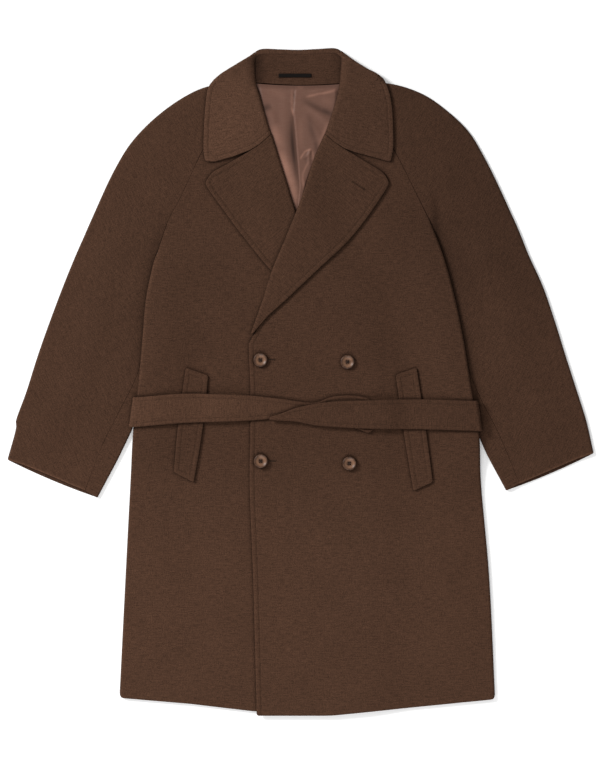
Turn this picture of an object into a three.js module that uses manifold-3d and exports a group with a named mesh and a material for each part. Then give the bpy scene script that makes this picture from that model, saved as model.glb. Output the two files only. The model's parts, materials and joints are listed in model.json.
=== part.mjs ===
// A double-breasted wool coat with raglan sleeves and a flat belt, laid flat with its fronts up.
// Millimetres. X runs to the right over the fronts, Y toward the collar, Z up from the surface it lies on.
// Sides are the wearer's: the left front is the one on top, at positive X.
import * as THREE from 'three';
import Module from 'manifold-3d';

const wasm = await Module();
wasm.setup();

// Thickness of each cloth, seam allowances and facings taken in.
const wall = {
  back: 3, front: 3.2, sleeve: 2.8, lapel: 3.4, collar: 3.4, stand: 2.6,
  welt: 2.6, belt: 4, lining: 1.2, label: 0.8,
};
const seamGap = 0.3;
const layerGap = 0.8;
const cell = 36;
const sleeveCell = 44;
const lapelCell = 28;
const weltCell = 18;

// An edge that is turned down ends in a quarter bend of this radius, over the edge of the layer below.
const bendRadius = 3.8;
const bendSteps = 3;

// A layer lifts what lies on it by its full height up to liftFull past its outline, then less and less.
const liftFull = 10;
const liftFade = 78;

// The sleeves' inner edges are tucked under the body's side edges, which they lift.
const tuck = {
  full: 14, fade: 105, bottomFull: -100, bottomNone: -200,
  right: { full: 190, none: 245 },
  left: { full: 235, none: 290 },
};

const beltWidth = 51;
const beltBack = { y: -52, full: 6, fade: 70 };
const beltEnds = { rightTop: -284.5, rightBottom: -291.5, leftTop: 301.5, leftBottom: 309, reach: 4.2 };
const button = { diameter: 24, height: 5, count: 4, seat: 0.3 };

const colour = {
  cloth: 0x4a3529, cloth2: 0x523b2e, collar: 0x5c4238, stand: 0x57402f, lining: 0x8a6c60,
  label: 0x1d1917, horn: 0x4b3324,
};

// Tables of sections. a is a panel's plain edge and b its outer one, which may be bent down.
// inset moves a along the row, turn is b's bend in quarter turns, sag lowers the row's middle.
const named = (names, rows) => rows.map((row) => Object.fromEntries(names.split(' ').map((name, i) => [name, row[i]])));
const sectionNames = 'ax ay bx by inset turn sag';

const rightFrontRows = named(sectionNames, [
  [99.5, -563, -308.6, -535.2, 0, 1, 8],
  [99.5, -340, -298.7, -340.7, 0, 1, 3],
  [99.5, -166, -289.5, -165.9, 0, 1, 0],
  [99.5, -76, -283.9, -75.8, 0, 1, 0],
  [99.5, -10, -276.5, -14, 0, 1, 0],
  [99.5, 66, -270, 64, 0, 1, 0],
  [95.5, 80, -268.7, 78, 5.6, 1, 0],
  [66, 141, -262.8, 143.3, 5.4, 1, 0],
  [30, 215, -247.6, 212, 5.4, 1, 0],
  [24, 228, -242, 226, 5.4, 0, 0],
  [-1, 277, -224.4, 277.4, 5.4, 0, 0],
  [-13, 312, -206.9, 309.7, 5.4, 0, 0],
  [-36, 380, -174, 380, 5.4, 0, 0],
  [-43, 402, -161.5, 403, 5.4, 0, 0],
  [-49.3, 422, -150, 420, 5.4, 0, 0],
  [-60, 455, -113, 458, 5.4, 0, 0],
  [-68, 484, -85, 484, 5.4, 0, 0],
]);

const leftFrontRows = named(sectionNames, [
  [-74.6, -567.6, 331.7, -536.7, 0, 1, 9],
  [-80.5, -340, 321.5, -330, 0, 1, 3],
  [-86.7, -165.9, 307.2, -165.9, 0, 1, 0],
  [-85.5, -85, 303.5, -85.2, 0, 1, 0],
  [-85.2, -12, 290.7, -11.9, 0, 1, 0],
  [-87.7, 68, 278.4, 68, 0, 1, 0],
  [-85.2, 79.5, 276, 80, 5.6, 1, 0],
  [-71, 121, 268, 120, 5.4, 1, 0],
  [-46, 196, 247.5, 201, 5.4, 1, 0],
  [-20, 260, 227.6, 257, 5.4, 1, 0],
  [-14, 274, 221.2, 272, 5.4, 0, 0],
  [4, 322, 196.9, 322.3, 5.4, 0, 0],
  [22, 379, 166.9, 382.2, 7.5, 0, 0],
  [34, 400, 155.2, 401.5, 7.5, 0, 0],
  [47, 420, 145, 420, 7.5, 0, 0],
  [57, 452, 110, 455, 5.4, 0, 0],
  [66, 482, 78, 481, 5.4, 0, 0],
]);

const backRows = named(sectionNames, [
  [-303.5, -531, 326.6, -532, 0, 0, 22],
  [-294, -340.7, 316.6, -330, 0, 0, 4],
  [-284.7, -165.9, 302.4, -165.9, 0, 0, 0],
  [-279.4, -80, 298.5, -80, 0, 0, 0],
  [-271.7, -12, 286, -12, 0, 0, 0],
  [-265, 64, 272.8, 72, 0, 0, 0],
  [-257.6, 143, 258.5, 135, 0, 0, 0],
  [-243, 212, 243, 201, 0, 0, 0],
  [-234, 234, 223, 257, 0, 0, 0],
  [-225, 277.4, 214, 286, 0, 0, 0],
  [-206.9, 309.7, 196.9, 322.3, 0, 0, 0],
  [-168.3, 392, 166.9, 382.2, 0, 0, 0],
  [-150, 420, 145, 420, 0, 0, 0],
  [-113, 458, 110, 455, 0, 0, 0],
  [-84, 487, 77, 485, 0, 0, 0],
  [-77, 507, 69, 505, 0, 0, 0],
]);

const rightLapelRows = named(sectionNames, [
  [86, 80, 94, 82, 0, 1, 0],
  [56, 97, 85, 102, 0, 1, 0],
  [3, 140, 66, 141, 0, 1, 0],
  [-48, 188, 41, 192, 0, 1, 0],
  [-87.7, 235.3, 20, 235, 0, 1, 0],
  [-126.8, 287.1, -5, 286, 0, 1, 0],
  [-161.8, 341, -24, 345, 0, 1, 0],
  [-159, 352, -47.6, 416.5, 0, 1, 1],
]);

const leftLapelRows = named(sectionNames, [
  [-78, 86, -84.6, 81, 0, 1, 0],
  [-62, 106, -77.8, 101, 0, 1, 0],
  [-22.8, 141.6, -64, 141, 0, 1, 0],
  [29.4, 191.1, -48.2, 191, 0, 1, 0],
  [81.4, 240.6, -28, 240, 0, 1, 0],
  [120.4, 290, -7.6, 290, 0, 1, 0],
  [150.5, 338, 6.5, 328, 0, 1, 0],
  [150.2, 347, 21.5, 377, 0, 1, 1],
  [148, 353, 46, 417.5, 0, 1, 2],
]);

const rightLeafRows = named(sectionNames, [
  [-150.3, 375.9, -49.3, 422.3, 0, 1, 12],
  [-161, 392, -54.4, 438, 0, 1, 8],
  [-164.6, 438, -59.2, 453.4, 0, 1, 0],
  [-162.5, 475, -68, 484, 0, 1, 0],
  [-153, 508, -74.8, 508, 4, 1, 0],
  [-133, 529, -77, 529, 8, 1, 0],
  [-111, 543, -77.4, 546, 8, 1, 0],
  [-92, 555, -74, 558, 8, 0.5, 0],
]);

const leftLeafRows = named(sectionNames, [
  [143.8, 374.9, 48.5, 422.3, 0, 1, 12],
  [155, 390, 50.8, 437, 0, 1, 8],
  [157.3, 440, 54.6, 460, 0, 1, 0],
  [154.5, 478, 60.5, 484, 0, 1, 0],
  [145.5, 509, 65.8, 508, 4, 1, 0],
  [120, 528, 67.4, 529, 8, 1, 0],
  [91, 546, 68.3, 546, 8, 1, 0],
  [78, 558, 65, 559, 8, 0.5, 0],
]);

// The leaf's part under the back of the neck, from the fold at a to its outer edge at b.
const underLeafRows = named(sectionNames, [
  [-139, 514, -136, 505, 0, 0, 0],
  [-107, 536, -112, 490, 0, 0, 0],
  [-70, 560, -74, 482, 0, 0, 0],
  [-4, 557.5, -4, 478, 0, 0, 0],
  [61, 561, 66, 482, 0, 0, 0],
  [87, 539, 104, 487, 0, 0, 0],
  [130, 508, 130, 500, 0, 0, 0],
]);
const collarFoldPath = named('x y', [
  [-147, 519.5], [-111, 543.5], [-88, 558.5], [-69.5, 567.6], [-35, 566.5],
  [-4.3, 565.1], [28, 567], [60.5, 569], [77, 561], [91, 547], [138, 516.5],
]);

const standRows = named(sectionNames, [
  [-84, 509.7, -79, 535, 0, 0, 0],
  [-75, 510, -66, 557, 0, 0, 0],
  [-35, 510.5, -35, 557, 0, 0, 0],
  [-4.3, 510.5, -4.3, 556, 0, 0, 0],
  [28, 510, 28, 557, 0, 0, 0],
  [66, 508.5, 58, 558, 0, 0, 0],
  [75, 507.8, 70, 537, 0, 0, 0],
]);

const labelRows = named(sectionNames, [
  [-37, 518.4, -37, 524.4, 0, 0, 0],
  [18.5, 518.4, 18.5, 524.4, 0, 0, 0],
]);

const liningRows = named(sectionNames, [
  [-18, 285, 8, 285, 0, 0, 0],
  [-33, 330, 15, 330, 0, 0, 0],
  [-47, 378, 32, 378, 0, 0, 0],
  [-58, 420, 52, 425, 0, 0, 0],
  [-69, 453, 66, 463, 0, 0, 0],
  [-77, 505, 68, 503.5, 0, 0, 0],
]);

// Sleeves: a is the seam on the inner side, b the outer silhouette.
const rightSleeveRows = named(sectionNames, [
  [-88, 490, -99, 506, 1, 1, 0],
  [-113, 458, -155.7, 503.9, 1, 1, 0],
  [-150, 420, -196.9, 486.9, 1, 1, 0],
  [-168.3, 392, -246, 452, 1, 1, 0],
  [-187, 352, -289.2, 407.2, 1, 1, 0],
  [-206.9, 309.7, -320, 356, 1, 1, 0],
  [-225.5, 275, -350, 291, 1, 1, 0],
  [-243.5, 228, -372, 241, 1, 1, 0],
  [-255.8, 212, -380, 223, 0.5, 1, 0],
  [-258, 187, -391, 197, 0.5, 1, 0],
  [-258.5, 155, -405, 162, 0.5, 1, 0],
  [-264, 90, -428, 101, 0.5, 1, 0],
  [-279, 12, -448.8, 41.8, 0.5, 1, 0],
  [-305, -42, -467, -16, 0.5, 1, 0],
  [-335, -101, -484, -71.1, 0.5, 1, 0],
  [-367, -184, -499, -131.5, 0.5, 1, 0],
]);

const leftSleeveRows = named(sectionNames, [
  [81, 487, 92, 505, 1, 1, 0],
  [110, 455, 146.9, 509, 1, 1, 0],
  [145, 420, 206.7, 491.8, 1, 1, 0],
  [166.9, 382.2, 248, 464, 1, 1, 0],
  [184, 348, 286.6, 427, 1, 1, 0],
  [200, 316, 315, 380, 1, 1, 0],
  [215, 286, 342, 325, 1, 1, 0],
  [226, 267, 360, 285, 1, 1, 0],
  [237.5, 253, 367, 270, 0.5, 1, 0],
  [241.5, 231, 377, 246, 0.5, 1, 0],
  [245, 206, 388.5, 217, 0.5, 1, 0],
  [256.5, 150, 413, 163, 0.5, 1, 0],
  [270, 95, 433, 105, 0.5, 1, 0],
  [286, 28, 452, 44, 0.5, 1, 0],
  [308, -30, 470, -12, 0.5, 1, 0],
  [336, -83, 487, -66, 0.5, 1, 0],
  [373, -172, 499.3, -120.4, 0.5, 1, 0],
]);

// The inner edge of each sleeve: the fold where the under panel comes round, and the seam on top.
const foldNames = 'edgeX edgeY topX topY';
const rightSleeveFold = named(foldNames, [
  [-250.8, 211, -255, 212], [-248.6, 187, -257, 187], [-250, 155, -257.5, 155],
  [-255, 92, -263, 90], [-264, 14, -278, 12], [-275, -50, -304, -42],
  [-303, -115, -334, -101], [-345.5, -196, -366, -184],
]);
const leftSleeveFold = named(foldNames, [
  [232.4, 252, 236.6, 253], [232.5, 231, 240.5, 231], [236, 206, 244, 206],
  [248, 150, 255.5, 150], [261, 94, 269, 95], [273, 30, 285, 28],
  [285, -37, 307, -30], [310, -107, 335, -83], [350, -184, 372, -172],
]);

// The under panels follow the sleeve rows; below the arm their inner edge stops short of the fold.
const rightUnderRows = named(sectionNames, [
  [-88, 490, -98, 500.5, 1, 0, 0],
  [-113, 458, -151, 498, 1, 0, 0],
  [-150, 420, -193.5, 481.5, 1, 0, 0],
  [-168.3, 392, -242, 448.5, 1, 0, 0],
  [-187, 352, -285, 404.5, 1, 0, 0],
  [-206.9, 309.7, -315.5, 354, 1, 0, 0],
  [-225.5, 275, -345.5, 290.5, 1, 0, 0],
  [-246, 228, -367.5, 240, 1, 0, 0],
  [-254, 211, -375.5, 222, 0, 0, 0],
  [-252.3, 187, -386.7, 196.7, 0, 0, 0],
  [-253.8, 155, -400.7, 162, 0, 0, 0],
  [-258.8, 91, -423.7, 100.5, 0, 0, 0],
  [-268, 13, -444.5, 41, 0, 0, 0],
  [-279, -49, -462.8, -16.5, 0, 0, 0],
  [-307.5, -113.5, -479.8, -72, 0, 0, 0],
  [-349, -194.5, -495, -135, 0, 0, 4],
]);

const leftUnderRows = named(sectionNames, [
  [81, 487, 91, 499.5, 1, 0, 0],
  [110, 455, 142.5, 503, 1, 0, 0],
  [145, 420, 203.5, 487, 1, 0, 0],
  [166.9, 382.2, 244.5, 460.5, 1, 0, 0],
  [184, 348, 282.5, 425, 1, 0, 0],
  [200, 316, 311, 378.5, 1, 0, 0],
  [215, 286, 337.8, 324, 1, 0, 0],
  [228, 267, 355.8, 284, 1, 0, 0],
  [235.6, 253, 362.6, 269.5, 0, 0, 0],
  [236.2, 231, 372.6, 245.5, 0, 0, 0],
  [239.7, 206, 384.2, 216.5, 0, 0, 0],
  [251.7, 150, 408.7, 162.5, 0, 0, 0],
  [264.7, 94, 428.7, 105, 0, 0, 0],
  [276.8, 30, 447.7, 43.5, 0, 0, 0],
  [289, -36, 465.7, -12.5, 0, 0, 0],
  [314.3, -105.5, 482.7, -67, 0, 0, 0],
  [354, -182.5, 495.3, -124, 0, 0, 4],
]);

// Pocket welts, slanted, a along the pocket's mouth and b along the sewn side.
const rightWeltRows = named(sectionNames, [
  [-215.4, -152.8, -181.2, -170.2, 0, 0, 0],
  [-207.7, -70.9, -166, -80, 0, 0, 0],
  [-194.8, 25.3, -156.4, 11.7, 0, 0, 0],
]);
const leftWeltRows = named(sectionNames, [
  [225.3, -169.3, 192, -185, 0, 0, 0],
  [213.5, -81.6, 176, -90, 0, 0, 0],
  [197.4, 25.8, 161.5, 12.8, 0, 0, 0],
]);

// The belt's strands over the fronts, by station: its upper and lower edge.
const strandNames = 'x top bottom';
const rightStrand = named(strandNames, [
  [-270, -24.5, -75], [-198.7, -19, -69], [-138, -20, -67], [-77.4, -22.8, -65],
  [-30, -27, -68], [25, -31, -71], [52, -24, -72], [80, -21, -74],
  [104, -24, -82], [116, -28, -85.5], [126, -38, -77], [131, -52, -65],
]);
const leftStrand = named(strandNames, [
  [-52.7, -58.5, -63.5], [-34, -53, -65], [-9, -43.5, -66.5], [25.2, -36, -73],
  [60, -32, -76], [112.4, -30.4, -78.5], [203.5, -28.6, -79.7], [288, -31, -82],
]);

const buttonCentres = named('x y', [[-68, 38.1], [79.9, 34.7], [-67.2, -133.6], [83, -137.5]]);

// Smooth step from 1 at the start of a fade to 0 at its end.
function fade(distance, start, length) {
  const t = THREE.MathUtils.clamp((distance - start) / length, 0, 1);
  return 1 - t * t * (3 - 2 * t);
}

// A table's rows, with more laid between them along a smooth curve through each edge.
function denseRows(table, step) {
  const edge = (x, y) => new THREE.CatmullRomCurve3(
    table.map((row) => new THREE.Vector3(row[x], row[y], 0)), false, 'centripetal');
  const [a, b] = [edge('ax', 'ay'), edge('bx', 'by')];
  const last = table.length - 1;
  const rows = [];
  for (let i = 0; i < last; i++) {
    const [row, next] = [table[i], table[i + 1]];
    const gap = Math.max(Math.hypot(next.ax - row.ax, next.ay - row.ay), Math.hypot(next.bx - row.bx, next.by - row.by));
    const steps = Math.max(1, Math.round(gap / step));
    for (let k = i === 0 ? 0 : 1; k <= steps; k++) {
      const t = k / steps;
      const mix = (name) => row[name] + (next[name] - row[name]) * t;
      rows.push({
        a: a.getPoint((i + t) / last), b: b.getPoint((i + t) / last),
        inset: mix('inset'), turn: mix('turn'), sag: mix('sag'),
      });
    }
  }
  return rows;
}

// Plan points of a panel: straight columns from a toward b and, where the edge is bent, the bend's columns.
// drop is how far a point of the bend lies below the flat part.
function panelPlan(table, thickness, across, bent, step = cell) {
  return denseRows(table, step).map(({ a, b, inset, turn, sag }) => {
    const along = b.clone().sub(a);
    const length = along.length();
    along.normalize();
    const angle = Math.max(turn, 0.01) * Math.PI / 2;
    const arc = bendRadius * Math.PI / 2;
    const reach = bent ? (arc / angle + thickness / 2) * Math.sin(angle) : 0;
    const flat = length - reach;
    const points = [];
    const put = (distance, drop) => {
      const u = distance / length;
      const point = a.clone().addScaledVector(along, distance);
      points.push({ x: point.x, y: point.y - sag * 4 * u * (1 - u), drop });
    };
    for (let k = 0; k <= across; k++) put(inset + (flat - inset) * k / across, 0);
    for (let k = 1; bent && k <= bendSteps; k++) {
      const theta = angle * k / bendSteps;
      put(flat + arc / angle * Math.sin(theta), arc / angle * (1 - Math.cos(theta)));
    }
    return points;
  });
}

// The outline of a plan, once round.
function outlineOf(plan) {
  const first = plan[0];
  const last = plan[plan.length - 1];
  const width = first.length;
  return [...first, ...plan.slice(1, -1).map((row) => row[width - 1]),
    ...last.slice().reverse(), ...plan.slice(1, -1).map((row) => row[0]).reverse()];
}

// How far a point lies outside an outline, 0 within it.
function distanceOutside(outline, x, y) {
  let inside = false;
  let nearest = Infinity;
  outline.forEach((p, i) => {
    const q = outline[(i + 1) % outline.length];
    const [dx, dy] = [q.x - p.x, q.y - p.y];
    if ((p.y > y) !== (q.y > y) && x < p.x + dx * (y - p.y) / dy) inside = !inside;
    const t = THREE.MathUtils.clamp(((x - p.x) * dx + (y - p.y) * dy) / (dx * dx + dy * dy || 1), 0, 1);
    nearest = Math.min(nearest, Math.hypot(x - p.x - t * dx, y - p.y - t * dy));
  });
  return inside ? 0 : nearest;
}

// The height that a layer adds under whatever lies on it.
function liftOf(plan, thickness) {
  const outline = outlineOf(plan);
  return (x, y) => (thickness + layerGap) * fade(distanceOutside(outline, x, y), liftFull, liftFade);
}

// The height of the pieces below a point, added up.
const stack = (...lifts) => (x, y) => lifts.reduce((sum, lift) => sum + lift(x, y), 0);

// A closed wall of even thickness about a grid of points in its middle.
function closedWall(grid, thickness) {
  const [rows, columns] = [grid.length, grid[0].length];
  const position = [];
  const at = (r, c) => grid[THREE.MathUtils.clamp(r, 0, rows - 1)][THREE.MathUtils.clamp(c, 0, columns - 1)];
  for (const side of [1, -1]) {
    for (let r = 0; r < rows; r++) {
      for (let c = 0; c < columns; c++) {
        const alongRow = at(r, c + 1).clone().sub(at(r, c - 1));
        const alongColumn = at(r + 1, c).clone().sub(at(r - 1, c));
        const normal = alongRow.cross(alongColumn).normalize();
        const p = grid[r][c].clone().addScaledVector(normal, side * thickness / 2);
        position.push(p.x, p.y, p.z);
      }
    }
  }
  const size = rows * columns;
  const index = [];
  const quad = (a, b, c, d) => index.push(a, b, c, a, c, d);
  const id = (r, c) => r * columns + c;
  for (let r = 0; r < rows - 1; r++) {
    for (let c = 0; c < columns - 1; c++) {
      quad(id(r, c), id(r, c + 1), id(r + 1, c + 1), id(r + 1, c));
      quad(size + id(r, c), size + id(r + 1, c), size + id(r + 1, c + 1), size + id(r, c + 1));
    }
  }
  const rim = [];
  for (let c = 0; c < columns - 1; c++) rim.push([id(0, c), id(0, c + 1)]);
  for (let r = 0; r < rows - 1; r++) rim.push([id(r, columns - 1), id(r + 1, columns - 1)]);
  for (let c = columns - 1; c > 0; c--) rim.push([id(rows - 1, c), id(rows - 1, c - 1)]);
  for (let r = rows - 1; r > 0; r--) rim.push([id(r, 0), id(r - 1, 0)]);
  rim.forEach(([p, q]) => quad(q, p, size + p, size + q));
  return outward(position, index);
}

// A geometry whose faces point out: they are turned round where the volume they enclose is negative.
function outward(position, index) {
  let volume = 0;
  const point = (i) => new THREE.Vector3().fromArray(position, 3 * i);
  for (let i = 0; i < index.length; i += 3) {
    volume += point(index[i]).dot(point(index[i + 1]).cross(point(index[i + 2])));
  }
  if (volume < 0) {
    for (let i = 0; i < index.length; i += 3) [index[i], index[i + 1]] = [index[i + 1], index[i]];
  }
  const geometry = new THREE.BufferGeometry();
  geometry.setAttribute('position', new THREE.Float32BufferAttribute(position, 3));
  geometry.setIndex(index);
  return geometry;
}

// A panel's wall, resting at base.
function panelWall(plan, thickness, base) {
  return closedWall(plan.map((row) => row.map(({ x, y, drop }) => (
    new THREE.Vector3(x, y, base(x, y) + thickness / 2 - drop)))), thickness);
}

// A strip that turns round an edge, from the layer below to the one on top, one section for each row.
// edge is its outermost point, top where it ends above, under where it ends below; reach is the bend's depth.
function foldedEdge(rows, thickness, reach, underBase, topBase) {
  const steps = 5;
  return closedWall(rows.map(({ edge, top, under }) => {
    const out = edge.clone().sub(top).normalize();
    const centre = edge.clone().addScaledVector(out, -(reach + thickness / 2));
    const low = underBase(centre.x, centre.y);
    const high = topBase(centre.x, centre.y);
    const section = [new THREE.Vector3(under.x, under.y, underBase(under.x, under.y))];
    for (let k = 0; k <= steps; k++) {
      const angle = Math.PI * (k / steps - 0.5);
      const point = centre.clone().addScaledVector(out, reach * Math.cos(angle));
      section.push(new THREE.Vector3(point.x, point.y, (low + high) / 2 + (high - low) / 2 * Math.sin(angle)));
    }
    section.push(new THREE.Vector3(top.x, top.y, topBase(top.x, top.y)));
    return section;
  }), thickness);
}

// Several closed geometries joined into one.
function joined(geometries) {
  const solids = geometries.map((geometry) => new wasm.Manifold(new wasm.Mesh({
    numProp: 3,
    vertProperties: new Float32Array(geometry.attributes.position.array),
    triVerts: new Uint32Array(geometry.index.array),
  })));
  const mesh = solids.reduce((sum, solid) => sum.add(solid)).getMesh();
  const geometry = new THREE.BufferGeometry();
  geometry.setAttribute('position', new THREE.BufferAttribute(new Float32Array(mesh.vertProperties), 3));
  geometry.setIndex(new THREE.BufferAttribute(new Uint32Array(mesh.triVerts), 1));
  return geometry;
}

const coat = new THREE.Group();

function add(name, geometry, hex, roughness = 0.92) {
  const mesh = new THREE.Mesh(geometry, new THREE.MeshStandardMaterial({ color: hex, roughness, metalness: 0 }));
  mesh.name = name;
  coat.add(mesh);
}

// The X of a panel's outer edge at a height Y.
function edgeAt(table, y) {
  const i = THREE.MathUtils.clamp(table.findIndex((row) => row.by > y), 1, table.length - 1);
  const [low, high] = [table[i - 1], table[i]];
  return low.bx + (high.bx - low.bx) * (y - low.by) / (high.by - low.by);
}

// The lift of the body's side edges over the tucked sleeves.
function tuckLift(x, y) {
  const side = x < 0 ? tuck.right : tuck.left;
  const edge = edgeAt(x < 0 ? rightFrontRows : leftFrontRows, y);
  const inside = Math.abs(edge) - Math.abs(x);
  const height = 2 * (wall.sleeve + layerGap);
  return height * fade(inside, tuck.full, tuck.fade) * fade(y, side.full, side.none - side.full)
    * fade(-y, -tuck.bottomFull, tuck.bottomFull - tuck.bottomNone);
}

// The lift of the back over the belt that runs under it.
const beltLift = (x, y) => (wall.belt + layerGap)
  * fade(Math.abs(y - beltBack.y), beltWidth / 2 + beltBack.full, beltBack.fade);

// Plans of all panels, from the bottom layer up.
const plan = {
  underLeaf: panelPlan(underLeafRows, wall.collar, 3, false),
  back: panelPlan(backRows, wall.back, 16, false),
  lining: panelPlan(liningRows, wall.lining, 4, false),
  rightFront: panelPlan(rightFrontRows, wall.front, 11, true),
  leftFront: panelPlan(leftFrontRows, wall.front, 11, true),
  rightLapel: panelPlan(rightLapelRows, wall.lapel, 4, true, lapelCell),
  leftLapel: panelPlan(leftLapelRows, wall.lapel, 4, true, lapelCell),
  rightLeaf: panelPlan(rightLeafRows, wall.collar, 4, true, lapelCell),
  leftLeaf: panelPlan(leftLeafRows, wall.collar, 4, true, lapelCell),
  stand: panelPlan(standRows, wall.stand, 3, false),
  label: panelPlan(labelRows, wall.label, 1, false),
  rightWelt: panelPlan(rightWeltRows, wall.welt, 1, false, weltCell),
  leftWelt: panelPlan(leftWeltRows, wall.welt, 1, false, weltCell),
  rightSleeve: panelPlan(rightSleeveRows, wall.sleeve, 5, true, sleeveCell),
  leftSleeve: panelPlan(leftSleeveRows, wall.sleeve, 5, true, sleeveCell),
  rightUnder: panelPlan(rightUnderRows, wall.sleeve, 5, false, sleeveCell),
  leftUnder: panelPlan(leftUnderRows, wall.sleeve, 5, false, sleeveCell),
};

// Heights: what each layer rests on.
const leafLift = liftOf(plan.underLeaf, wall.collar);
const level = (height) => () => height;
const onSleeve = stack(leafLift, level(wall.sleeve + layerGap));
const onBelt = stack(leafLift, tuckLift, beltLift);
const onBack = stack(onBelt, level(wall.back + layerGap));
const onLining = stack(onBack, liftOf(plan.lining, wall.lining));
const onFront = stack(onLining, level(wall.front + layerGap));
const onUnderlap = stack(onLining, liftOf(plan.rightFront, wall.front), liftOf(plan.rightLapel, wall.lapel));
const onOverlap = stack(onUnderlap, level(wall.front + layerGap));
const onBackEdge = stack(leafLift, liftOf(plan.back, wall.back));

// Body panels.
add('back', panelWall(plan.back, wall.back, onBelt), colour.cloth);
add('back_lining', panelWall(plan.lining, wall.lining, onBack), colour.lining, 0.45);
add('right_front', panelWall(plan.rightFront, wall.front, onLining), colour.cloth);
add('left_front', panelWall(plan.leftFront, wall.front, onUnderlap), colour.cloth2);
add('right_lapel', panelWall(plan.rightLapel, wall.lapel, onFront), colour.cloth);
add('left_lapel', panelWall(plan.leftLapel, wall.lapel, onOverlap), colour.cloth2);

// The collar: a leaf on each front, joined round the fold to the part that lies under the neck.
const middleOf = (base, thickness) => (x, y) => base(x, y) + thickness / 2;
function collarFold() {
  const thickness = wall.collar - 0.3;
  const tail = 12;
  const path = new THREE.CatmullRomCurve3(collarFoldPath.map(({ x, y }) => new THREE.Vector3(x, y, 0)), false, 'centripetal');
  const steps = 18;
  const rows = [];
  for (let i = 0; i <= steps; i++) {
    const edge = path.getPointAt(i / steps);
    const tangent = path.getTangentAt(i / steps);
    const inward = new THREE.Vector3(tangent.y, -tangent.x, 0);
    // Over the stand the fold ends at the seam; beside it, it runs on into the leaf.
    const onStand = edge.x > -78 && edge.x < 70;
    rows.push({
      edge, under: edge.clone().addScaledVector(inward, tail),
      top: edge.clone().addScaledVector(inward, onStand ? 7.4 : tail),
    });
  }
  return foldedEdge(rows, thickness, 4.4, level(wall.collar / 2), collarTop);
}
// The leaf rides on the fronts beside the neck and comes down onto the stand behind it.
function collarTop(x, y) {
  const beside = 1 - fade(Math.abs(x + 4), 64, 26);
  const standTop = onBackEdge(x, y) + wall.stand / 2;
  return standTop + (onFront(x, y) + wall.collar / 2 - standTop) * beside;
}
add('collar', joined([
  panelWall(plan.underLeaf, wall.collar, level(0)),
  collarFold(),
  panelWall(plan.rightLeaf, wall.collar, onFront),
  panelWall(plan.leftLeaf, wall.collar, onFront),
]), colour.collar);
add('collar_stand', panelWall(plan.stand, wall.stand, onBackEdge), colour.stand);
add('label', panelWall(plan.label, wall.label, stack(onBackEdge, level(wall.stand + seamGap))), colour.label, 0.6);

// Sleeves: the top panel, and the under panel that comes round the inner edge to the seam.
function underSleeve(underPlan, foldTable) {
  const sections = foldTable.map(({ edgeX, edgeY, topX, topY }) => ({ ax: edgeX, ay: edgeY, bx: topX, by: topY }));
  const rows = denseRows(sections, sleeveCell).map(({ a, b }) => ({ edge: a, top: b, under: b }));
  const middle = wall.sleeve / 2;
  const strip = foldedEdge(rows, wall.sleeve - 0.3, (wall.sleeve + layerGap) / 2,
    middleOf(leafLift, wall.sleeve), middleOf(onSleeve, wall.sleeve));
  return joined([panelWall(underPlan, wall.sleeve, leafLift), strip]);
}
add('right_sleeve_back', underSleeve(plan.rightUnder, rightSleeveFold), colour.cloth);
add('left_sleeve_back', underSleeve(plan.leftUnder, leftSleeveFold), colour.cloth);
add('right_sleeve_front', panelWall(plan.rightSleeve, wall.sleeve, onSleeve), colour.cloth2);
add('left_sleeve_front', panelWall(plan.leftSleeve, wall.sleeve, onSleeve), colour.cloth);

// Pocket welts.
const weltRise = 0.5;
add('right_pocket_welt', panelWall(plan.rightWelt, wall.welt, stack(onFront, level(weltRise))), colour.cloth2);
add('left_pocket_welt', panelWall(plan.leftWelt, wall.welt, stack(onOverlap, level(weltRise))), colour.cloth);

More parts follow.
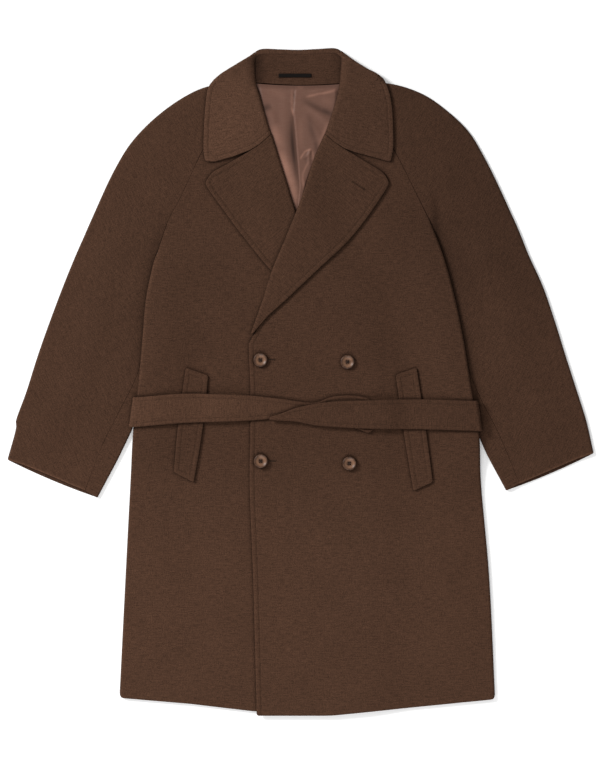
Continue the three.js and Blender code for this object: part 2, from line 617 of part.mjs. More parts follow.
// The belt, one strip from the tip on top, round the left side, under the back, round the right side,
// over the fronts and on under its own tip.
function belt() {
  const across = 2;
  const middle = wall.belt / 2;
  const strip = [];
  // One section: from its lower edge up, at xTop above and xBottom below.
  const section = (xTop, xBottom, top, bottom, height) => {
    const points = [];
    for (let k = 0; k <= across; k++) {
      const u = k / across;
      const [x, y] = [xBottom + (xTop - xBottom) * u, bottom + (top - bottom) * u];
      points.push(new THREE.Vector3(x, y, height(x, y)));
    }
    strip.push(points);
  };
  const onWelts = stack(liftOf(plan.rightWelt, wall.welt + weltRise), liftOf(plan.leftWelt, wall.welt + weltRise));
  const overFronts = stack(onLining, liftOf(plan.rightFront, wall.front), liftOf(plan.leftFront, wall.front), onWelts);
  const tail = rightStrand.filter(({ x }) => x > -70);
  const tailOutline = [...tail.map(({ x, top }) => ({ x, y: top })), ...tail.map(({ x, bottom }) => ({ x, y: bottom })).reverse()];
  const overTail = (x, y) => overFronts(x, y)
    + (wall.belt + layerGap) * fade(distanceOutside(tailOutline, x, y), 6, 45);
  const strand = (table, base) => {
    const edge = (name) => new THREE.CatmullRomCurve3(
      table.map((row) => new THREE.Vector3(row.x, row[name], 0)), false, 'centripetal');
    const [upper, lower] = [edge('top'), edge('bottom')];
    const steps = 20;
    for (let i = 0; i <= steps; i++) {
      const [p, q] = [upper.getPoint(i / steps), lower.getPoint(i / steps)];
      section(p.x, q.x, p.y, q.y, (x, y) => base(x, y) + middle);
    }
  };
  // The two side bends, each a half ellipse from one layer to the other.
  const bend = (outerTop, outerBottom, top, bottom, from, to) => {
    const sign = Math.sign(outerTop);
    const back = sign * (beltEnds.reach + middle);
    for (let k = 0; k <= 6; k++) {
      const angle = Math.PI * (k / 6 - 0.5);
      const out = sign * beltEnds.reach * Math.cos(angle) - back;
      section(outerTop + out, outerBottom + out, top, bottom, (x, y) => {
        const [start, end] = [from(x - out - back, y), to(x - out - back, y)];
        return (start + end) / 2 + (end - start) / 2 * Math.sin(angle);
      });
    }
  };
  const topAt = (x, y) => overFronts(x, y) + middle;
  const underAt = (x, y) => tuckLift(x, y) + middle;
  strand(leftStrand, overTail);
  bend(beltEnds.leftTop, beltEnds.leftBottom, -31, -83, topAt, underAt);
  const underSteps = 16;
  for (let i = 1; i < underSteps; i++) {
    const mix = (from, to) => THREE.MathUtils.lerp(from, to, i / underSteps);
    section(mix(beltEnds.leftTop - 8, beltEnds.rightTop + 8), mix(beltEnds.leftBottom - 8, beltEnds.rightBottom + 8),
      mix(-31, -25), mix(-83, -76), underAt);
  }
  bend(beltEnds.rightTop, beltEnds.rightBottom, -25, -76, underAt, topAt);
  strand(rightStrand, overFronts);
  return closedWall(strip, wall.belt);
}
add('belt', belt(), colour.cloth2);

// Buttons: a rim, a dished middle and a bevelled foot.
function buttonGeometry() {
  const r = button.diameter / 2;
  const h = button.height;
  const profile = [[0, 0], [r * 0.7, 0], [r * 0.97, h * 0.3], [r, h * 0.6], [r * 0.9, h], [r * 0.68, h * 0.95],
    [r * 0.55, h * 0.6], [0, h * 0.55]];
  const geometry = new THREE.LatheGeometry(profile.map(([x, y]) => new THREE.Vector2(x, y)), 16);
  return geometry.rotateX(Math.PI / 2);
}
buttonCentres.slice(0, button.count).forEach(({ x, y }, i) => {
  const r = button.diameter / 2;
  const around = [[0, 0], [r, 0], [-r, 0], [0, r], [0, -r]];
  const seat = Math.max(...around.map(([dx, dy]) => onOverlap(x + dx, y + dy))) - layerGap + button.seat;
  const geometry = buttonGeometry();
  geometry.translate(x, y, seat);
  add(`button_${i + 1}`, geometry, colour.horn, 0.35);
});

export default coat;
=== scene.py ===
import bpy
import numpy as np
import json
import math
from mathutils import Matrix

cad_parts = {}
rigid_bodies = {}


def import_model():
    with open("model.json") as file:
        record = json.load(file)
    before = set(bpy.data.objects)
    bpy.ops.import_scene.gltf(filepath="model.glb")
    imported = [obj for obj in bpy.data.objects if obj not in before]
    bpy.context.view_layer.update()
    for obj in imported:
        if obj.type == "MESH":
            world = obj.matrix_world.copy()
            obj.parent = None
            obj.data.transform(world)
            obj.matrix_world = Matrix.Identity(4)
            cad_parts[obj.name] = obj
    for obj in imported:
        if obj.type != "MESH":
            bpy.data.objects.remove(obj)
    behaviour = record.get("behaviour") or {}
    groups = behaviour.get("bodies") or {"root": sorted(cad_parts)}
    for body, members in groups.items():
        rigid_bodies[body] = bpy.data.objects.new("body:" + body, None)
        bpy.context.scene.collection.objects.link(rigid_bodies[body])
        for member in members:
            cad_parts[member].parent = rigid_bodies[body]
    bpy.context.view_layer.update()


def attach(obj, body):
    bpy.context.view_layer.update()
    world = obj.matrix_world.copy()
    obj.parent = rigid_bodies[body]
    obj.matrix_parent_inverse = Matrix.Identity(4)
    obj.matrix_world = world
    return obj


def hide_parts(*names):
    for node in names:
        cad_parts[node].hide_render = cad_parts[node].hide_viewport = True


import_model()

# A double-breasted wool coat, laid flat and seen from straight above.
# Sizes below are millimetres in the frame of the coat: X right, Y toward the collar, Z up.
mm = 0.001

photo = {
    "widthPixels": 600, "heightPixels": 765,
    "pixel": 1.7,           # millimetres of the coat in one pixel
    "centre": (-0.85, -0.17),
    "planeHeight": 9.0,     # height of the cloth that the scale holds for
    "distance": 4200.0,     # camera to cloth
}


def toLinear(hexColour):
    # sRGB hex to linear RGB: each channel by the standard curve
    channels = np.array([int(hexColour[i:i + 2], 16) / 255 for i in (1, 3, 5)])
    linear = np.where(channels <= 0.04045, channels / 12.92, ((channels + 0.055) / 1.055) ** 2.4)
    return (*linear.tolist(), 1.0)


def setUpCamera():
    frameHeight = photo["heightPixels"] * photo["pixel"]
    camera = bpy.data.cameras.new("camera_above")
    camera.sensor_fit = "VERTICAL"
    camera.angle = 2 * math.atan(frameHeight / 2 / photo["distance"])
    camera.clip_end = 20
    eye = bpy.data.objects.new("camera_above", camera)
    x, y = photo["centre"]
    eye.location = (x * mm, y * mm, (photo["distance"] + photo["planeHeight"]) * mm)
    bpy.context.collection.objects.link(eye)
    bpy.context.scene.camera = eye
    print("camera: straight above")


light = {
    "worldColour": "#FFFFFF", "worldStrength": 0.42,
    "keyPlace": (-3.3, 2.0, 2.6), "keySize": 1.25, "keyPower": 185.0,
    "fillPlace": (-0.6, -2.6, 2.4), "fillSize": 2.6, "fillPower": 50.0,
    "floorColour": "#FBFBFB", "floorGlow": 0.22, "floorSize": 14.0,
}


def areaLamp(name, place, size, power):
    lamp = bpy.data.lights.new(name, "AREA")
    lamp.shape = "DISK"
    lamp.size = size
    lamp.energy = power
    holder = bpy.data.objects.new(name, lamp)
    holder.location = place
    toward = -np.array(place) / np.linalg.norm(place)
    # turn so that the lamp's -Z points at the coat
    holder.rotation_euler = (math.acos(-toward[2]), 0, math.atan2(toward[1], toward[0]) - math.pi / 2)
    bpy.context.collection.objects.link(holder)


def setUpLight():
    world = bpy.data.worlds.new("studio")
    bpy.context.scene.world = world
    world.use_nodes = True
    background = world.node_tree.nodes["Background"]
    background.inputs["Color"].default_value = toLinear(light["worldColour"])
    background.inputs["Strength"].default_value = light["worldStrength"]
    areaLamp("key_lamp", light["keyPlace"], light["keySize"], light["keyPower"])
    areaLamp("fill_lamp", light["fillPlace"], light["fillSize"], light["fillPower"])
    half = light["floorSize"] / 2
    mesh = bpy.data.meshes.new("floor")
    mesh.from_pydata([(-half, -half, 0), (half, -half, 0), (half, half, 0), (-half, half, 0)], [], [(0, 1, 2, 3)])
    floor = bpy.data.objects.new("floor", mesh)
    bpy.context.collection.objects.link(floor)
    paper = bpy.data.materials.new("matt_paper_sweep")
    paper.use_nodes = True
    shader = paper.node_tree.nodes["Principled BSDF"]
    shader.inputs["Base Color"].default_value = toLinear(light["floorColour"])
    shader.inputs["Roughness"].default_value = 0.9
    shader.inputs["Emission Color"].default_value = toLinear(light["floorColour"])
    shader.inputs["Emission Strength"].default_value = light["floorGlow"]
    mesh.materials.append(paper)
    bpy.context.scene.view_settings.view_transform = "Standard"
    print("light: soft studio light from the upper left")


setUpCamera()
setUpLight()

# Thickness of each cloth, the gap between layers, and how a layer lifts what lies on it.
wall = {
    "back": 3.0, "front": 3.2, "sleeve": 2.8, "lapel": 3.4, "collar": 3.4, "stand": 2.6,
    "welt": 2.6, "belt": 4.0, "lining": 1.2, "label": 0.8,
}
layerGap = 0.8
liftFull = 10.0
liftFade = 78.0
bendRadius = 3.8
bendSteps = 7
seamRound = 0.3

# Columns beside an edge by their distance from it: close at the rounded edge, then round the stitched line.
stitchInset = 8.5
plainEdge = np.array([0, 0.3, 0.8, 1.7, 4, 8])
stitchedEdge = np.array([0, 0.3, 0.8, 1.7, 3.4, 5.2, 6.7, 7.7, stitchInset, 9.3, 10.3, 12, 15])
stitchedColumn = 8
bentEdge = np.array([0, 2.5, 6.0])


def railAt(points, stations):
    # centripetal Catmull-Rom: a cubic from each point to the next, its end slopes from the neighbours
    p = np.vstack([2 * points[0] - points[1], points, 2 * points[-1] - points[-2]])
    i = np.clip(np.floor(stations).astype(int), 0, len(points) - 2)
    t = (stations - i)[:, None]
    p0, p1, p2, p3 = p[i], p[i + 1], p[i + 2], p[i + 3]

    def root(u, v):
        return np.maximum(np.sum((v - u) ** 2, axis=1, keepdims=True) ** 0.25, 1e-4)

    d0, d1, d2 = root(p0, p1), root(p1, p2), root(p2, p3)
    m1 = ((p1 - p0) / d0 - (p2 - p0) / (d0 + d1) + (p2 - p1) / d1) * d1
    m2 = ((p2 - p1) / d1 - (p3 - p1) / (d1 + d2) + (p3 - p2) / d2) * d1
    return p1 + m1 * t + (3 * (p2 - p1) - 2 * m1 - m2) * t ** 2 + (2 * (p1 - p2) + m1 + m2) * t ** 3


def fade(distance, start, length):
    # 1 up to start, then a smooth step down to 0 at start + length
    t = np.clip((distance - start) / length, 0, 1)
    return 1 - t * t * (3 - 2 * t)


def edgeColumns(stitched):
    return stitchedEdge if stitched else plainEdge


def arcStations(railA, railB, fine, first, last, cell):
    # rows by mean arc length of two rails, with the near distances first and last kept at the ends
    steps = 0.5 * (np.hypot(*np.diff(railA, axis=0).T) + np.hypot(*np.diff(railB, axis=0).T))
    along = np.concatenate([[0], np.cumsum(steps)])
    total = along[-1]
    squeeze = min(1.0, 0.8 * total / (first[-1] + last[-1]))
    first, last = first * squeeze, last * squeeze
    inner = max(2, round((total - first[-1] - last[-1]) / cell))
    places = np.concatenate([first, np.linspace(first[-1], total - last[-1], inner + 1)[1:-1], (total - last)[::-1]])
    return places, np.interp(places, along, fine), first, last, total


def nearEnd(rail, fine, line, near):
    # stations at which a rail lies at the distances near from the straight line through its end row
    start, way = line
    distance = np.abs(way[0] * (rail[:, 1] - start[1]) - way[1] * (rail[:, 0] - start[0]))
    reach = np.argmax(distance > near[-1]) if np.any(distance > near[-1]) else len(distance) - 1
    return np.interp(near, np.maximum.accumulate(distance[:reach + 1]), fine[:reach + 1])


def parallelRows(railA, railB, fine, stations, first, last):
    # rows near both ends run parallel to the end row; the offsets fade out as (1 - t)^3 over the rows between
    result = []
    ends = [(railA[0], railB[0]), (railA[-1], railB[-1])]
    lines = [(a, (b - a) / max(np.hypot(*(b - a)), 1e-6)) for a, b in ends]
    inside = slice(len(first), len(stations) - len(last))
    t = (stations[inside] - stations[len(first) - 1]) / (stations[-len(last)] - stations[len(first) - 1])
    for rail in (railA, railB):
        own = stations.copy()
        own[:len(first)] = nearEnd(rail, fine, lines[0], first)
        own[-len(last):] = nearEnd(rail[::-1], fine[::-1], lines[1], last)[::-1]
        startOffset = own[len(first) - 1] - stations[len(first) - 1]
        endOffset = own[-len(last)] - stations[-len(last)]
        own[inside] = stations[inside] + startOffset * (1 - t) ** 3 + endOffset * t ** 3
        result.append(np.maximum.accumulate(own))
    return result


def panelPlan(cut):
    # A panel between two rails, a and b, row by row: the point at distance s along a row is a + s (b - a) / |b - a|,
    # lowered in Y by the row's sag. A bent edge rolls off on a quarter arc of bendRadius, scaled by the row's turn.
    rows = np.array([list(row) + [0] * (8 - len(row)) for row in cut["rows"]], float)
    thickness, cell = wall[cut["cloth"]], cut.get("cell", 9.0)
    stitched, bent = cut.get("stitched", ""), cut.get("bent", "")
    index = np.arange(len(rows), dtype=float)
    fine = np.linspace(0, len(rows) - 1, 60 * (len(rows) - 1) + 1)
    railA, railB = railAt(rows[:, 0:2], fine), railAt(rows[:, 2:4], fine)
    places, stations, first, last, total = arcStations(
        railA, railB, fine, edgeColumns("s" in stitched), edgeColumns("e" in stitched), cell)
    stationA, stationB = parallelRows(railA, railB, fine, stations, first, last)
    a, b = railAt(rows[:, 0:2], stationA), railAt(rows[:, 2:4], stationB)
    inset, turnA = (np.interp(stationA, index, rows[:, k])[:, None] for k in (4, 7))
    inset = inset if "inset" not in cut else cut["inset"] + 0 * inset
    turnB = np.interp(stationB, index, rows[:, 5])[:, None]
    sag = np.interp(stations, index, rows[:, 6])[:, None]
    length = np.hypot(*(b - a).T)[:, None]
    way = (b - a) / length

    def slant(rail):
        tangent = np.gradient(rail, axis=0)
        tangent /= np.maximum(np.hypot(*tangent.T)[:, None], 1e-6)
        return np.clip(np.abs(way[:, 0] * tangent[:, 1] - way[:, 1] * tangent[:, 0]), 0.45, 1)[:, None]

    def bend(turn, use):
        angle = np.maximum(turn, 0.01) * math.pi / 2
        radius = bendRadius * math.pi / 2 / angle
        reach = (radius + thickness / 2) * np.sin(angle) if use else np.zeros_like(angle)
        return angle, radius, reach

    angleA, radiusA, reachA = bend(turnA, "a" in bent)
    angleB, radiusB, reachB = bend(turnB, "b" in bent)
    start, end = inset + reachA, length - reachB
    nearA = (bentEdge if "a" in bent else edgeColumns("a" in stitched))[None, :]
    nearB = (bentEdge if "b" in bent else edgeColumns("b" in stitched))[None, :]
    spanA, spanB = nearA / slant(a), nearB / slant(b)
    room = np.minimum(1, 0.8 * (end - start) / (spanA[:, -1:] + spanB[:, -1:]))
    spanA, spanB = spanA * room, spanB * room
    middle = max(2, round(float(np.max(end - start)) / cell))
    share = np.linspace(0, 1, middle + 1)[None, 1:-1]
    low, high = start + spanA[:, -1:], end - spanB[:, -1:]
    place = np.concatenate([start + spanA, low + (high - low) * share, (end - spanB)[:, ::-1]], axis=1)
    na, nb = nearA.shape[1], nearB.shape[1]
    distanceA = np.concatenate([nearA * room, nearA[0, -1] + place[:, na:] - low], axis=1)
    distanceB = np.concatenate([high - place[:, :-nb] + nearB[0, -1], (nearB * room)[:, ::-1]], axis=1)
    drop = np.zeros_like(place)
    arc = bendRadius * math.pi / 2
    k = np.arange(1, bendSteps + 1)[None, :] / bendSteps
    flatEdge = np.zeros((len(a), bendSteps))
    if "b" in bent:
        place = np.concatenate([place, end + radiusB * np.sin(angleB * k)], axis=1)
        drop = np.concatenate([drop, radiusB * (1 - np.cos(angleB * k))], axis=1)
        distanceA = np.concatenate([distanceA, distanceA[:, -1:] + arc * k], axis=1)
        distanceB = np.concatenate([distanceB + arc, arc * (1 - k) + flatEdge], axis=1)
    if "a" in bent:
        k = k[:, ::-1]
        place = np.concatenate([start - radiusA * np.sin(angleA * k), place], axis=1)
        drop = np.concatenate([radiusA * (1 - np.cos(angleA * k)), drop], axis=1)
        distanceB = np.concatenate([distanceB[:, :1] + arc * k, distanceB], axis=1)
        distanceA = np.concatenate([arc * (1 - k) + flatEdge, distanceA + arc], axis=1)
    u = place / length
    x = a[:, 0:1] + way[:, 0:1] * place
    y = a[:, 1:2] + way[:, 1:2] * place - sag * 4 * u * (1 - u)
    fromStart, fromEnd = places.copy(), total - places
    fromStart[:len(first)], fromEnd[-len(last):] = first, last[::-1]
    y = movedEnds(cut, x, y, fromStart[:, None], fromEnd[:, None])
    plan = {
        "x": x, "y": y, "drop": drop, "thickness": thickness, "stitched": stitched,
        "along": u, "until": cut.get("until", {}), "round": cut.get("round", thickness / 2),
        "relief": cut.get("relief", 0.5), "seams": cut.get("seams", {}), "tones": cut.get("tones", []),
        "distances": {"a": distanceA, "b": distanceB, "s": fromStart[:, None] + 0 * x, "e": fromEnd[:, None] + 0 * x},
        "lines": {"s": stitchedColumn, "e": len(places) - 1 - stitchedColumn,
                  "a": stitchedColumn, "b": x.shape[1] - 1 - stitchedColumn},
        "flat": (float(np.max(length)), float(total)),
    }
    for corner, radius in cut.get("corners", {}).items():
        roundCorner(plan, corner, radius)
    return plan


def movedEnds(cut, x, y, fromStart, fromEnd):
    # an end row is moved onto a line given by points, the rows beside it less and less
    for end, distance, row in (("s", fromStart, 0), ("e", fromEnd, -1)):
        if end in cut.get("ends", {}):
            line, full, length = cut["ends"][end]
            line = np.array(line, float)
            shift = np.interp(x[row], line[:, 0], line[:, 1]) - y[row]
            y = y + shift[None, :] * fade(distance, full, length)
    return y


def roundCorner(plan, corner, radius):
    # The corner square of two edge distances is mapped onto a quarter disc:
    # (p, q) goes to (p sqrt(1 - q^2 / 2), q sqrt(1 - p^2 / 2)) with p and q measured from the disc's centre.
    x, y, near = plan["x"], plan["y"], plan["distances"]
    column = 0 if "a" in corner else -1
    row = 0 if "s" in corner else -1
    side, end = corner[0], corner[1]
    tip = np.array([x[row, column], y[row, column]])
    alongSide = np.array([x[row + 12 if row == 0 else -13, column], y[row + 12 if row == 0 else -13, column]]) - tip
    alongEnd = np.array([x[row, 12 if column == 0 else -13], y[row, 12 if column == 0 else -13]]) - tip
    alongSide, alongEnd = alongSide / np.hypot(*alongSide), alongEnd / np.hypot(*alongEnd)
    sine = abs(alongSide[0] * alongEnd[1] - alongSide[1] * alongEnd[0])
    p = 1 - near[side] / radius
    q = 1 - near[end] / radius
    inside = (p > 0) & (q > 0)
    p, q = np.where(inside, p, 0), np.where(inside, q, 0)
    newP, newQ = p * np.sqrt(1 - q * q / 2), q * np.sqrt(1 - p * p / 2)
    # going along the end edge takes a point away from the side edge, and the other way round
    moveEnd, moveSide = (p - newP) * radius / sine, (q - newQ) * radius / sine
    plan["x"] = x + moveEnd * alongEnd[0] + moveSide * alongSide[0]
    plan["y"] = y + moveEnd * alongEnd[1] + moveSide * alongSide[1]
    rounded = radius * (1 - np.hypot(newP, newQ))
    near[side] = np.where(inside, rounded, near[side])
    near[end] = np.where(inside, rounded, near[end])


def outlineOf(plan, stride=4):
    # once round the plan, every few points
    x, y = plan["x"], plan["y"]
    sides = [(x[0], y[0]), (x[:, -1], y[:, -1]), (x[-1, ::-1], y[-1, ::-1]), (x[::-1, 0], y[::-1, 0])]
    return np.concatenate([np.stack([sx[:-1:stride], sy[:-1:stride]], 1) for sx, sy in sides])


def distanceOutside(outline, x, y):
    # distance to the nearest stretch of the outline, 0 for points inside by the crossing count
    px, py = x.ravel()[:, None], y.ravel()[:, None]
    ax, ay = outline[:, 0][None, :], outline[:, 1][None, :]
    dx, dy = np.roll(ax, -1, 1) - ax, np.roll(ay, -1, 1) - ay
    t = np.clip(((px - ax) * dx + (py - ay) * dy) / np.maximum(dx * dx + dy * dy, 1e-9), 0, 1)
    nearest = np.hypot(px - ax - t * dx, py - ay - t * dy).min(axis=1)
    crosses = ((ay > py) != (ay + dy > py)) & (px < ax + dx * (py - ay) / np.where(dy == 0, 1e-9, dy))
    inside = crosses.sum(axis=1) % 2 == 1
    return np.where(inside, 0, nearest).reshape(x.shape)


def liftOf(plan, extra=0.0):
    # what lies on a panel rises by its thickness and the gap, up to liftFull outside it, then less and less
    outline = outlineOf(plan)
    height = plan["thickness"] + layerGap + extra
    return lambda x, y: height * fade(distanceOutside(outline, x, y), liftFull, liftFade)


def stack(*lifts):
    return lambda x, y: sum(lift(x, y) for lift in lifts)


def level(height):
    return lambda x, y: height + 0 * x


def ridges(table):
    # Soft ridges: each runs from one point to another, bowed to one side; across it the height is
    # exp(-(d / width)^2), along it rise sin(pi t)^0.8.
    def height(x, y):
        total = np.zeros_like(x)
        for x0, y0, x1, y1, width, rise, bow in table:
            dx, dy = x1 - x0, y1 - y0
            run = math.hypot(dx, dy)
            t = np.clip(((x - x0) * dx + (y - y0) * dy) / run ** 2, 0, 1)
            across = ((x - x0) * dy - (y - y0) * dx) / run - bow * 4 * t * (1 - t)
            total += rise * np.exp(-(across / width) ** 2) * np.sin(math.pi * t) ** 0.8
        return total
    return height


# How the whole coat lies: long soft ridges, from, to, width, height and bow, shared by all layers.
ease = ridges([
    (-205, 250, -232, -20, 34, 1.9, 10),
    (-150, 300, -175, 60, 30, 1.3, -8),
    (205, 250, 245, -10, 36, 2.1, -9),
    (130, 290, 150, 90, 40, 1.4, 8),
    (-215, -110, -250, -500, 42, 1.8, 8),
    (-120, -150, -140, -520, 36, 1.2, -10),
    (225, -120, 262, -490, 44, 2.0, -9),
    (40, -180, 60, -540, 40, 1.1, 10),
    (150, -110, 165, -430, 32, 1.3, 6),
    (-30, -120, -20, -420, 34, 0.9, -6),
    (-250, 330, -372, 60, 30, 2.2, 14),
    (-300, 260, -400, -60, 26, 1.6, -10),
    (-330, 120, -430, -120, 30, 1.8, 8),
    (-190, 440, -262, 330, 26, 1.4, 6),
    (250, 350, 380, 60, 32, 2.2, -12),
    (300, 270, 405, -40, 26, 1.6, 10),
    (330, 110, 440, -110, 30, 1.8, -8),
    (190, 450, 262, 345, 26, 1.4, -6),
    (-276, 190, -330, 60, 20, 1.6, -6),
    (262, 190, 322, 60, 20, 1.6, 6),
    (225, 324, 233, 240, 6, -1.3, -2),
])
# painted shade in the crease above the armpit of the left sleeve, where ease has a trough
armShade = ridges([(225, 324, 233, 240, 6, 0.32, -2)])


def gridNormals(points):
    normal = np.cross(np.gradient(points, axis=1), np.gradient(points, axis=0))
    return normal / np.maximum(np.linalg.norm(normal, axis=2, keepdims=True), 1e-9)


def napOf(x, y):
    # painted light and shade: lighter toward the hem, darker at the upper right, and the painted shade of armShade in
    # the crease above the armpit
    low = 0.16 * (1 - fade(-y, 60, 260))
    right = 0.16 * (1 - fade(x, 60, 220)) * (1 - fade(y, 20, 260))
    return low - right - armShade(x, y)


def makeMesh(name, vertices, faces, material, uv=None, nap=None):
    mesh = bpy.data.meshes.new(name)
    mesh.vertices.add(len(vertices))
    mesh.vertices.foreach_set("co", (np.asarray(vertices, float) * mm).astype(np.float32).ravel())
    faces = [np.asarray(part, np.int32) for part in faces]
    loops = np.concatenate([part.ravel() for part in faces])
    counts = np.concatenate([np.full(len(part), part.shape[1], np.int32) for part in faces])
    mesh.loops.add(len(loops))
    mesh.loops.foreach_set("vertex_index", loops)
    mesh.polygons.add(len(counts))
    mesh.polygons.foreach_set("loop_start", np.concatenate([[0], np.cumsum(counts)[:-1]]).astype(np.int32))
    mesh.polygons.foreach_set("use_smooth", np.ones(len(counts), bool))
    if uv is not None:
        layer = mesh.uv_layers.new(name="grain")
        layer.data.foreach_set("uv", (np.asarray(uv, float)[loops] * mm).astype(np.float32).ravel())
    mesh.update(calc_edges=True)
    mesh.validate()
    # painted light and shade, one value per point, that scales the cloth's colour
    if nap is not None:
        tone = mesh.attributes.new("nap", "FLOAT", "POINT")
        tone.data.foreach_set("value", np.asarray(nap, np.float32))
    mesh.materials.append(material)
    piece = bpy.data.objects.new(name, mesh)
    bpy.context.collection.objects.link(piece)
    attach(piece, "root")
    return piece


def shell(name, points, half, material, uv, top, facing=1, nap=None):
    # A closed cloth wall about its middle surface: both faces lie half a thickness off it along the normals, and
    # share the outermost points, so that the edges are round. top raises or lowers the face on show.
    rows, columns = points.shape[:2]
    normal = gridNormals(points) * facing
    upper = points + normal * (half + top)[..., None]
    lower = points - normal * half[..., None]
    upperId = np.arange(rows * columns).reshape(rows, columns)
    lowerId = upperId.copy()
    lowerId[1:-1, 1:-1] = rows * columns + np.arange((rows - 2) * (columns - 2)).reshape(rows - 2, columns - 2)

    def quads(ids, turned):
        corners = [ids[:-1, :-1], ids[:-1, 1:], ids[1:, 1:], ids[1:, :-1]]
        return np.stack([corner.ravel() for corner in (corners[::-1] if turned else corners)], axis=1)

    inner = (slice(1, -1), slice(1, -1))
    vertices = np.concatenate([upper.reshape(-1, 3), lower[inner].reshape(-1, 3)])
    maps = np.concatenate([uv.reshape(-1, 2), uv[inner].reshape(-1, 2)])
    nap = napOf(points[..., 0], points[..., 1]) if nap is None else nap
    faces = [quads(upperId, facing < 0), quads(lowerId, facing > 0)]
    return makeMesh(name, vertices, faces, material, maps, np.concatenate([nap.ravel(), nap[inner].ravel()])), upper


def roundedHalf(distance, thickness, radius):
    # half a thickness, falling to 0 at the edge on a quarter ellipse
    return thickness / 2 * np.sqrt(np.clip(1 - (1 - np.minimum(distance / radius, 1)) ** 2, 0, 1))


def edgeHalf(plan):
    # each side has its radius; a side that is a seam over some height has seamRound from there up
    halves = []
    for side, distance in plan["distances"].items():
        radius = plan["round"] + 0 * distance
        if side in plan["seams"]:
            radius = seamRound + (radius - seamRound) * fade(plan["y"], plan["seams"][side], 30)
        halves.append(roundedHalf(distance, plan["thickness"], radius))
    return np.minimum.reduce(halves)


def paintedLightOfPlan(plan):
    # painted light and shade: the painted gradient, and bands along a side, darker or lighter by strength exp(-(d /
    # width)^2), from one height to another
    x, y = plan["x"], plan["y"]
    tone = napOf(x, y)
    for side, strength, width, low, high in plan["tones"]:
        window = fade(y, high, 60) * fade(-y, -low, 60)
        tone = tone + strength * np.exp(-(plan["distances"][side] / width) ** 2) * window
    return tone


sewing = {
    "groove": 0.9, "grooveWidth": 1.0, "swell": 0.7,
    "stitch": 3.0, "pitch": 4.2, "thread": 0.28,
}
runs = []       # stitched lines, as points on the cloth's face


def stitchedFace(plan, share):
    # a groove at stitchInset from the stitched edges, and a swell between it and the edge
    distances, stitched, until, along = (plan[name] for name in ("distances", "stitched", "until", "along"))
    if not stitched:
        return 0 * share
    fields = []
    for side in stitched:
        field = distances[side]
        fields.append(np.where(along <= until[side], field, 99) if side in until else field)
    distance = np.minimum.reduce(fields)
    groove = sewing["groove"] * np.exp(-((distance - stitchInset) / sewing["grooveWidth"]) ** 2)
    swell = sewing["swell"] * np.exp(-((distance - stitchInset / 2) / (stitchInset / 3.2)) ** 2)
    return (swell - groove) * share ** 2 * plan["relief"]


def noteRuns(upper, plan):
    for side in plan["stitched"]:
        i = plan["lines"][side]
        pick = (lambda field: field[i]) if side in "se" else (lambda field: field[:, i])
        clear = np.minimum.reduce([pick(plan["distances"][other]) for other in plan["distances"] if other != side])
        keep = clear >= stitchInset - 0.6
        if side in plan["until"]:
            keep &= pick(plan["along"]) <= plan["until"][side]
        if keep.sum() > 2:
            runs.append(pick(upper)[keep])


def grainOf(x, y, degrees):
    # the cloth's own directions, turned from X and Y
    turn = math.radians(degrees)
    return np.stack([x * math.cos(turn) + y * math.sin(turn), y * math.cos(turn) - x * math.sin(turn)], axis=-1)


def clothPanel(name, plan, base, material, grain=0.0, creases=None, shade=None):
    # the middle surface lies half a thickness over what the panel rests on
    x, y, thickness = plan["x"], plan["y"], plan["thickness"]
    z = base(x, y) + ease(x, y) + thickness / 2 - plan["drop"]
    if creases is not None:
        z = z + creases(x, y)
    points = np.stack([x, y, z], axis=2)
    half = edgeHalf(plan)
    top = stitchedFace(plan, half / (thickness / 2))
    facing = 1 if gridNormals(points)[..., 2].mean() > 0 else -1
    nap = paintedLightOfPlan(plan) if shade is None else shade(x, y)
    piece, upper = shell(name, points, half, material, grainOf(x, y, grain), top, facing, nap)
    noteRuns(upper, plan)
    return piece, points


def sheetArea(points):
    # the area of the middle surface, from the two diagonals of each cell
    p = points * mm
    first, second = p[1:, 1:] - p[:-1, :-1], p[1:, :-1] - p[:-1, 1:]
    return float(0.5 * np.linalg.norm(np.cross(first, second), axis=2).sum())


def declare(piece, points, flat, node):
    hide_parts(node)
    width, length = max(flat[0] * mm, 0.0101), flat[1] * mm
    area = float(np.clip(sheetArea(points), 0.31 * width * length, width * length))


# where a turned panel's half turn begins and ends among its columns, and the steps in each part of its path
turnColumns = (0.3, 0.5)
steps = 90


